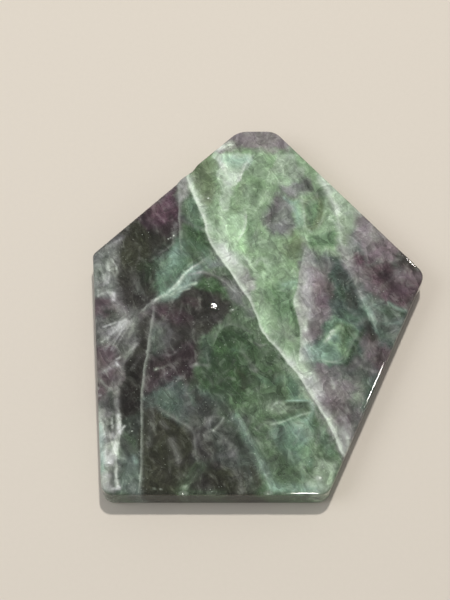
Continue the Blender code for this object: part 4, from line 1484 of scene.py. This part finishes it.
# Map Range is given its inputs by number too: 0 its value, 1 and 2 the range that comes in, 3 and 4 the
# range that goes out, or 0 to 1 where these aren't given.

FLUORITE_IOR = 1.434
# Clarity of the milkiest and the clearest stone that the patterns tell apart.
MILKIEST, CLEAREST = 0.05, 0.62
# Sizes of the patterns too fine to lay out one by one, in mm.
SWIRL_SIZE = 5.0
CLOUD_SIZE = 4.0
STREAK_SIZE = 1.3
MOTTLE_SIZE = 0.5
GRAIN_SIZE = 0.35
TINT_SIZE = 4.5
THREAD_SIZE = 3.2
SPECK_SPACING = 0.7
CLUSTER_SIZE = 6.0
RIPPLE_SIZE = 0.8
GAP_SIZE = 1.3
POLISH_SIZE = 2.0
RELIEF_SIZE = 1.1
RELIEF_DEPTH = 0.002
# How far the swirls push the patterns, in mm.
SWIRL_PUSH = 4.0
# The clouds are drawn out along the main crack: its direction in degrees, and how many times their width.
GROWTH_TURN = -63.0
GROWTH_STRETCH = 2.2
# How much lighter and darker each pattern makes the stone, and how light it is between.
CLOUD_DEPTH = 0.15
STREAK_DEPTH = 0.15
MOTTLE_DEPTH = 0.12
GRAIN_DEPTH = 0.13
STONE_BRIGHTNESS = 1.04
# How white the chips are, and how rough they and the rim are above the polish.
CHIP_FROST = 0.25
CHIP_ROUGHNESS, RIM_ROUGHNESS = 0.12, 0.02
# The colours that the tint drifts between, as shares of the stone's own.
GREENER, PURPLER = (0.97, 1.02, 0.95, 1), (1.02, 0.99, 1.06, 1)


class Flat(NamedTuple):
    """Flat breaks along a cleavage: their direction in degrees, size in mm, and how much they shade."""

    turn: float
    length: float
    width: float
    depth: float


CLEAVAGE_FLATS = (Flat(-66.0, 7.0, 3.0, 0.26), Flat(35.0, 2.8, 1.4, 0.20), Flat(-50.0, 1.3, 0.7, 0.14))


def add_node(tree, kind, inputs=(), output=0, **settings):
    """Adds a node, sets its properties, and fills its inputs with values or with sockets.

    Returns the output with the given name or number, or None if the node has none.
    """
    node = tree.nodes.new(kind)
    for name, value in settings.items():
        setattr(node, name, value)
    for key, value in dict(inputs).items():
        if isinstance(value, bpy.types.NodeSocket):
            tree.links.new(value, node.inputs[key])
        else:
            node.inputs[key].default_value = value
    return node.outputs[output] if node.outputs else None


def new_material(name):
    material = bpy.data.materials.new(name)
    material.use_nodes = True
    material.node_tree.nodes.clear()
    return material, material.node_tree


def growth_patterns(tree, mm, bent):
    """Clouds, streaks, mottling and grain. All but the grain are swirled and drawn out along the growth."""
    drawn = add_node(
        tree, "ShaderNodeMapping",
        {"Vector": bent, "Rotation": (0, 0, math.radians(GROWTH_TURN)), "Scale": (GROWTH_STRETCH, 1.0, 1.0)},
        vector_type="TEXTURE",
    )
    clouds = add_node(
        tree, "ShaderNodeTexNoise",
        {"Vector": drawn, "Scale": 1 / CLOUD_SIZE, "Detail": 5.0, "Roughness": 0.58},
    )
    streaks = add_node(tree, "ShaderNodeTexNoise", {"Vector": drawn, "Scale": 1 / STREAK_SIZE, "Detail": 3.0})
    mottling = add_node(
        tree, "ShaderNodeTexNoise", {"Vector": drawn, "Scale": 1 / MOTTLE_SIZE, "Detail": 2.0}
    )
    grain = add_node(tree, "ShaderNodeTexNoise", {"Vector": mm, "Scale": 1 / GRAIN_SIZE, "Detail": 2.0})
    return clouds, streaks, mottling, grain


def growth_shade(tree, clarity, clouds, streaks, mottling, grain):
    """How bright the patterns make the stone. They show most in clear, dark stone."""
    shade = STONE_BRIGHTNESS
    for pattern, depth in ((clouds, CLOUD_DEPTH), (streaks, STREAK_DEPTH)):
        darker, lighter = 1 - depth, 1 + depth
        layer = add_node(tree, "ShaderNodeMapRange", {0: pattern, 1: 0.25, 2: 0.75, 3: darker, 4: lighter})
        shade = add_node(tree, "ShaderNodeMath", {0: shade, 1: layer}, operation="MULTIPLY")
    contrast = add_node(tree, "ShaderNodeMapRange", {0: clarity, 1: MILKIEST, 2: CLEAREST, 3: 0.8, 4: 2.0})
    shade = add_node(tree, "ShaderNodeMath", {0: shade, 1: contrast}, operation="POWER")

    # The two finest lie in patches.
    fine = 1.0
    for pattern, depth in ((mottling, MOTTLE_DEPTH), (grain, GRAIN_DEPTH)):
        darker, lighter = 1 - depth, 1 + depth
        layer = add_node(tree, "ShaderNodeMapRange", {0: pattern, 1: 0.3, 2: 0.7, 3: darker, 4: lighter})
        fine = add_node(tree, "ShaderNodeMath", {0: fine, 1: layer}, operation="MULTIPLY")
    contrast = add_node(tree, "ShaderNodeMapRange", {0: clarity, 1: MILKIEST, 2: CLEAREST, 3: 0.45, 4: 1.1})
    patches = add_node(tree, "ShaderNodeMapRange", {0: clouds, 1: 0.35, 2: 0.65, 3: 0.45, 4: 1.45})
    contrast = add_node(tree, "ShaderNodeMath", {0: contrast, 1: patches}, operation="MULTIPLY")
    fine = add_node(tree, "ShaderNodeMath", {0: fine, 1: contrast}, operation="POWER")
    return add_node(tree, "ShaderNodeMath", {0: shade, 1: fine}, operation="MULTIPLY")


def cleavage_shade(tree, bent, shade):
    """The shade with flat breaks along the cleavage added, each shaded from one side to the other."""
    for flat in CLEAVAGE_FLATS:
        turn, size = (0, 0, math.radians(flat.turn)), (flat.length, flat.width, flat.width)
        turned = add_node(
            tree, "ShaderNodeMapping", {"Vector": bent, "Rotation": turn, "Scale": size},
            vector_type="TEXTURE",
        )
        cell = add_node(tree, "ShaderNodeTexVoronoi", {"Vector": turned, "Scale": 1.0}, output="Position")
        tone = add_node(tree, "ShaderNodeTexVoronoi", {"Vector": turned, "Scale": 1.0}, output="Color")
        away = add_node(tree, "ShaderNodeVectorMath", {0: turned, 1: cell}, operation="SUBTRACT")
        lean = add_node(tree, "ShaderNodeVectorMath", {0: tone, 1: (0.5, 0.5, 0.5)}, operation="SUBTRACT")
        slope = add_node(
            tree, "ShaderNodeVectorMath", {0: away, 1: lean}, output="Value", operation="DOT_PRODUCT"
        )
        darker, lighter = 1 - flat.depth, 1 + flat.depth
        layer = add_node(tree, "ShaderNodeMapRange", {0: slope, 1: -0.35, 2: 0.35, 3: darker, 4: lighter})
        shade = add_node(tree, "ShaderNodeMath", {0: shade, 1: layer}, operation="MULTIPLY")
    return shade


def tinted_stone(tree, stone, shade, bent):
    """The stone's own colour under its shade, drifting a little between green and purple."""
    drift = add_node(tree, "ShaderNodeTexNoise", {"Vector": bent, "Scale": 1 / TINT_SIZE, "Detail": 3.0})
    drift = add_node(tree, "ShaderNodeMapRange", {0: drift, 1: 0.35, 2: 0.65})
    tint = add_node(
        tree, "ShaderNodeMix", {MIX_FACTOR: drift, MIX_A: GREENER, MIX_B: PURPLER},
        output=MIX_RESULT, data_type="RGBA",
    )
    colour = add_node(tree, "ShaderNodeVectorMath", {0: stone, "Scale": shade}, operation="SCALE")
    return add_node(tree, "ShaderNodeVectorMath", {0: colour, 1: tint}, operation="MULTIPLY")


def inner_haze(tree, mm, bent, clouds, streaks):
    """Haze in the streaks, hair-thin threads of trapped fluid, and clusters of specks 0.2 mm across."""
    haze = add_node(tree, "ShaderNodeMapRange", {0: streaks, 1: 0.55, 2: 0.80, 3: 0.0, 4: 0.18})
    threads = add_node(tree, "ShaderNodeTexNoise", {"Vector": bent, "Scale": 1 / THREAD_SIZE, "Detail": 1.5})
    threads = add_node(tree, "ShaderNodeMath", {0: threads, 1: 0.5}, operation="SUBTRACT")
    threads = add_node(tree, "ShaderNodeMath", {0: threads}, operation="ABSOLUTE")
    threads = add_node(tree, "ShaderNodeMapRange", {0: threads, 1: 0.0, 2: 0.012, 3: 0.11, 4: 0.0})
    gathered = add_node(tree, "ShaderNodeMapRange", {0: clouds, 1: 0.42, 2: 0.60})
    threads = add_node(tree, "ShaderNodeMath", {0: threads, 1: gathered}, operation="MULTIPLY")
    veil = add_node(tree, "ShaderNodeMath", {0: haze, 1: threads}, operation="MAXIMUM")

    cells = {"Vector": mm, "Scale": 1 / SPECK_SPACING}
    speck = add_node(tree, "ShaderNodeTexVoronoi", cells, output="Distance")
    speck = add_node(tree, "ShaderNodeMapRange", {0: speck, 1: 0.10, 2: 0.24, 3: 0.6, 4: 0.0})
    chosen = add_node(tree, "ShaderNodeTexVoronoi", cells, output="Color")
    chosen = add_node(tree, "ShaderNodeMapRange", {0: chosen, 1: 0.55, 2: 0.75})
    cluster = add_node(tree, "ShaderNodeTexNoise", {"Vector": mm, "Scale": 1 / CLUSTER_SIZE, "Detail": 2.0})
    cluster = add_node(tree, "ShaderNodeMapRange", {0: cluster, 1: 0.45, 2: 0.65})
    speck = add_node(tree, "ShaderNodeMath", {0: speck, 1: chosen}, operation="MULTIPLY")
    speck = add_node(tree, "ShaderNodeMath", {0: speck, 1: cluster}, operation="MULTIPLY")
    return add_node(tree, "ShaderNodeMath", {0: veil, 1: speck}, operation="MAXIMUM")


def crack_lines(tree, mm):
    """The healed cracks' white lines, sharp on one side and fading on the other, and the painted glints of
    the flecks.
    """
    crack = add_node(tree, "ShaderNodeAttribute", output="Vector", attribute_name="crack")
    parts = add_node(tree, "ShaderNodeSeparateXYZ", {0: crack}).node.outputs
    to_crack, brightness, to_painted_glint = parts["X"], parts["Y"], parts["Z"]
    ripple = add_node(tree, "ShaderNodeTexNoise", {"Vector": mm, "Scale": 1 / RIPPLE_SIZE, "Detail": 3.0})
    ripple = add_node(tree, "ShaderNodeMath", {0: ripple, 1: 0.5, 2: -0.25}, operation="MULTIPLY_ADD")
    distance = add_node(tree, "ShaderNodeMath", {0: to_crack, 1: ripple}, operation="ADD")
    sharp = add_node(
        tree, "ShaderNodeMapRange", {0: distance, 1: -0.20, 2: 0.02}, interpolation_type="SMOOTHSTEP"
    )
    fading = add_node(
        tree, "ShaderNodeMapRange", {0: distance, 1: 0.05, 2: 0.85, 3: 1.0, 4: 0.0},
        interpolation_type="SMOOTHSTEP",
    )
    line = add_node(tree, "ShaderNodeMath", {0: sharp, 1: fading}, operation="MULTIPLY")
    line = add_node(tree, "ShaderNodeMath", {0: line, 1: brightness}, operation="MULTIPLY")
    gaps = add_node(
        tree, "ShaderNodeTexNoise", {"Vector": mm, "Scale": 1 / GAP_SIZE, "Detail": 3.0, "Roughness": 0.6}
    )
    gaps = add_node(tree, "ShaderNodeMapRange", {0: gaps, 1: 0.30, 2: 0.60, 3: 0.45, 4: 1.0})
    line = add_node(tree, "ShaderNodeMath", {0: line, 1: gaps}, operation="MULTIPLY")
    # Painted glints: white specks where the flecks catch the light.
    painted_glint = add_node(tree, "ShaderNodeMath", {0: to_painted_glint, 1: ripple}, operation="ADD")
    painted_glint = add_node(
        tree, "ShaderNodeMapRange", {0: painted_glint, 1: -0.15, 2: 0.10, 3: 0.9, 4: 0.0},
        interpolation_type="SMOOTHSTEP",
    )
    return add_node(tree, "ShaderNodeMath", {0: line, 1: painted_glint}, operation="MAXIMUM")


def polish_roughness(tree, mm, chipped):
    """A felt polish: nearly smooth, a little duller on the rim and frosted in the chips."""
    on_rim = add_node(tree, "ShaderNodeAttribute", output="Fac", attribute_name="rim")
    roughness = add_node(tree, "ShaderNodeTexNoise", {"Vector": mm, "Scale": 1 / POLISH_SIZE, "Detail": 3.0})
    roughness = add_node(tree, "ShaderNodeMapRange", {0: roughness, 1: 0.3, 2: 0.7, 3: 0.015, 4: 0.035})
    for where, extra in ((on_rim, RIM_ROUGHNESS), (chipped, CHIP_ROUGHNESS)):
        roughness = add_node(
            tree, "ShaderNodeMath", {0: where, 1: extra, 2: roughness}, operation="MULTIPLY_ADD"
        )
    return roughness


def polished_fluorite(settings, colours):
    """Fluorite, sawn and polished on felt: glassy, so the clouds and cracks inside show through."""
    material, tree = new_material("polished fluorite")
    metres = add_node(tree, "ShaderNodeTexCoord", output="Object")
    mm = add_node(tree, "ShaderNodeVectorMath", {0: metres, "Scale": 1 / MM}, operation="SCALE")
    stone = add_node(tree, "ShaderNodeAttribute", output="Vector", attribute_name="stone colour")
    clarity = add_node(tree, "ShaderNodeAttribute", output="Fac", attribute_name="clarity")
    chipped = add_node(tree, "ShaderNodeAttribute", output="Fac", attribute_name="chipped")
    swirl = add_node(
        tree, "ShaderNodeTexNoise", {"Vector": mm, "Scale": 1 / SWIRL_SIZE, "Detail": 1.0}, output="Color"
    )
    bent = add_node(
        tree, "ShaderNodeVectorMath", {0: swirl, 1: (SWIRL_PUSH,) * 3, 2: mm}, operation="MULTIPLY_ADD"
    )
    clouds, streaks, mottling, grain = growth_patterns(tree, mm, bent)
    shade = growth_shade(tree, clarity, clouds, streaks, mottling, grain)
    colour = tinted_stone(tree, stone, cleavage_shade(tree, bent, shade), bent)

    # Whatever is milky is whiter and lets less light in, and so are the painted glints.
    haze = inner_haze(tree, mm, bent, clouds, streaks)
    veil = add_node(tree, "ShaderNodeMath", {0: haze, 1: crack_lines(tree, mm)}, operation="MAXIMUM")
    frost = add_node(tree, "ShaderNodeMath", {0: chipped, 1: CHIP_FROST}, operation="MULTIPLY")
    veil = add_node(tree, "ShaderNodeMath", {0: veil, 1: frost}, operation="MAXIMUM")
    colour = add_node(
        tree, "ShaderNodeMix", {MIX_FACTOR: veil, MIX_A: colour, MIX_B: (*colours.milk, 1)},
        output=MIX_RESULT, data_type="RGBA",
    )
    clear = add_node(tree, "ShaderNodeMath", {0: 1.0, 1: veil}, operation="SUBTRACT")
    clear = add_node(tree, "ShaderNodeMath", {0: clear, 1: clarity}, operation="MULTIPLY")

    relief = add_node(tree, "ShaderNodeTexNoise", {"Vector": mm, "Scale": 1 / RELIEF_SIZE, "Detail": 3.0})
    bump = add_node(
        tree, "ShaderNodeBump", {"Strength": 0.1, "Distance": RELIEF_DEPTH * MM, "Height": relief}
    )
    surface = {
        "Base Color": colour, "Roughness": polish_roughness(tree, mm, chipped), "IOR": FLUORITE_IOR,
        "Transmission Weight": clear, "Normal": bump,
    }
    shader = add_node(tree, "ShaderNodeBsdfPrincipled", surface)
    inner = add_node(
        tree, "ShaderNodeVolumeAbsorption",
        {"Color": (*settings.absorption_colour, 1), "Density": settings.absorption},
    )
    add_node(tree, "ShaderNodeOutputMaterial", {"Surface": shader, "Volume": inner})
    return material


# Specks to a metre in the board's paint, and the darkest of them as a share of the paint's own colour.
PAINT_SPECKS = 900.0
PAINT_LOW = 0.97


def pale_floor(studio):
    """Matt painted board: pale and even, with nothing in it to draw the eye."""
    material, tree = new_material("matt painted board")
    metres = add_node(tree, "ShaderNodeTexCoord", output="Object")
    speck = add_node(tree, "ShaderNodeTexNoise", {"Vector": metres, "Scale": PAINT_SPECKS, "Detail": 3.0})
    low = tuple(v * PAINT_LOW for v in studio.floor_colour)
    colour = add_node(
        tree, "ShaderNodeMix", {MIX_FACTOR: speck, MIX_A: (*low, 1), MIX_B: (*studio.floor_colour, 1)},
        output=MIX_RESULT, data_type="RGBA",
    )
    shader = add_node(
        tree, "ShaderNodeBsdfPrincipled", {"Base Color": colour, "Roughness": 0.85, "Specular IOR Level": 0.2}
    )
    add_node(tree, "ShaderNodeOutputMaterial", {"Surface": shader})
    return material


# ---------------------------------------------------------------- the studio

VIEW_ELEVATION = math.radians(67.2)
VIEW_DISTANCE = 410.26
VIEW_TARGET = Vector((-8.41, 1.05, 8.0))
FLOOR_SIZE = 3000.0
FLOOR_DROP = 0.02


class Lamp(NamedTuple):
    """An oval area light that faces the slab: its place and size in mm, its roll, and what it lights."""

    place: tuple
    width: float
    height: float
    power: float
    colour: tuple
    roll: float = 0.0
    lights_matt: bool = True
    lights_gloss: bool = True


WARM = (1.0, 0.96, 0.90)
COOL = (0.93, 0.97, 1.0)
KEY_PLACE, KEY_SIZE = (60.0, 320.0, 945.0), 60.0
FILL_PLACE, FILL_SIZE = (-650.0, -100.0, 700.0), 600.0
# Small lamps that only show as glints in the polish.
GLINTS = {
    "spark light": Lamp((-18.8, 385.0, 931.0), 1.4, 1.4, 0.0035, WARM, lights_matt=False),
    "right edge light": Lamp((880.0, -25.0, 530.0), 34.0, 300.0, 3.0, WARM, roll=-12.0, lights_matt=False),
    "front edge light": Lamp((68.0, -860.0, 600.0), 40.0, 300.0, 3.2, WARM, lights_matt=False),
    "right corner light": Lamp((494.0, 724.0, 543.0), 14.0, 200.0, 1.0, WARM, roll=-7.3, lights_matt=False),
}


def add_lamp(name, lamp):
    data = bpy.data.lights.new(name, "AREA")
    data.shape = "ELLIPSE"
    data.size = lamp.width * MM
    data.size_y = lamp.height * MM
    data.energy = lamp.power
    data.color = lamp.colour
    light = bpy.data.objects.new(name, data)
    light.location = Vector(lamp.place) * MM
    facing = (-light.location).to_track_quat("-Z", "Y")
    light.rotation_euler = (facing @ Quaternion((0.0, 0.0, 1.0), math.radians(lamp.roll))).to_euler()
    light.visible_camera = False
    light.visible_diffuse = lamp.lights_matt
    light.visible_glossy = lamp.lights_gloss
    light.visible_transmission = lamp.lights_matt and lamp.lights_gloss
    bpy.context.scene.collection.objects.link(light)


def build_studio(studio):
    scene = bpy.context.scene
    floor_mesh = bpy.data.meshes.new("floor")
    grid = bmesh.new()
    bmesh.ops.create_grid(grid, x_segments=1, y_segments=1, size=FLOOR_SIZE / 2 * MM)
    grid.to_mesh(floor_mesh)
    grid.free()
    floor = bpy.data.objects.new("floor", floor_mesh)
    floor.location.z = -FLOOR_DROP * MM
    floor_mesh.materials.append(pale_floor(studio))
    scene.collection.objects.link(floor)

    world = bpy.data.worlds.new("studio room")
    world.use_nodes = True
    background = world.node_tree.nodes["Background"]
    background.inputs["Color"].default_value = (1.0, 0.98, 0.95, 1.0)
    background.inputs["Strength"].default_value = studio.room_light
    scene.world = world

    add_lamp("key light", Lamp(KEY_PLACE, KEY_SIZE, KEY_SIZE, studio.key_power, WARM, lights_gloss=False))
    add_lamp("fill light", Lamp(FILL_PLACE, FILL_SIZE, FILL_SIZE, studio.fill_power, COOL))
    for name, lamp in GLINTS.items():
        add_lamp(name, lamp)

    camera_data = bpy.data.cameras.new("camera")
    camera_data.lens = studio.lens
    camera_data.sensor_width = 36.0
    camera_data.clip_start = 0.01
    camera = bpy.data.objects.new("camera", camera_data)
    back = Vector((0.0, -math.cos(VIEW_ELEVATION), math.sin(VIEW_ELEVATION)))
    camera.location = (VIEW_TARGET + back * VIEW_DISTANCE) * MM
    camera.rotation_euler = (math.pi / 2 - VIEW_ELEVATION, 0.0, 0.0)
    scene.collection.objects.link(camera)
    scene.camera = camera
    scene.view_settings.view_transform = "Standard"


# ---------------------------------------------------------------- operators and panel


class FLUORITE_OT_add_slab(bpy.types.Operator):
    """Build the slab's body with its growth zones and healed cracks"""

    bl_idname = "fluorite.add_slab"
    bl_label = "Add Slab"

    def execute(self, context):
        settings, colours = context.scene.fluorite_slab, context.scene.fluorite_colours
        slab = build_slab(settings, colours)
        slab.data.materials.append(polished_fluorite(settings, colours))
        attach(slab, BODY)
        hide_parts(CAD_SLAB)
        return {"FINISHED"}


class FLUORITE_OT_add_studio(bpy.types.Operator):
    """Add the pale floor, the soft lights and the camera"""

    bl_idname = "fluorite.add_studio"
    bl_label = "Add Studio"

    def execute(self, context):
        build_studio(context.scene.fluorite_studio)
        return {"FINISHED"}


OPERATORS = (FLUORITE_OT_add_slab, FLUORITE_OT_add_studio)
GROUPS = {
    "fluorite_slab": FluoriteSlab,
    "fluorite_studio": FluoriteStudio,
    "fluorite_colours": FluoriteColours,
}


class FLUORITE_PT_panel(bpy.types.Panel):
    """Buttons and settings for the slab"""

    bl_label = "Fluorite Slab"
    bl_space_type = "VIEW_3D"
    bl_region_type = "UI"
    bl_category = "Fluorite"

    def draw(self, context):
        layout = self.layout
        for operator in OPERATORS:
            layout.operator(operator.bl_idname)
        for group_name in GROUPS:
            box = layout.box()
            group = getattr(context.scene, group_name)
            for name in group.__annotations__:
                box.prop(group, name)


def register():
    for cls in (*GROUPS.values(), *OPERATORS, FLUORITE_PT_panel):
        bpy.utils.register_class(cls)
    for name, group in GROUPS.items():
        setattr(bpy.types.Scene, name, bpy.props.PointerProperty(type=group))


def unregister():
    for name in GROUPS:
        delattr(bpy.types.Scene, name)
    for cls in (FLUORITE_PT_panel, *reversed(OPERATORS), *reversed(GROUPS.values())):
        bpy.utils.unregister_class(cls)


def main():
    register()
    bpy.ops.fluorite.add_slab()
    bpy.ops.fluorite.add_studio()


if __name__ == "__main__":
    main()
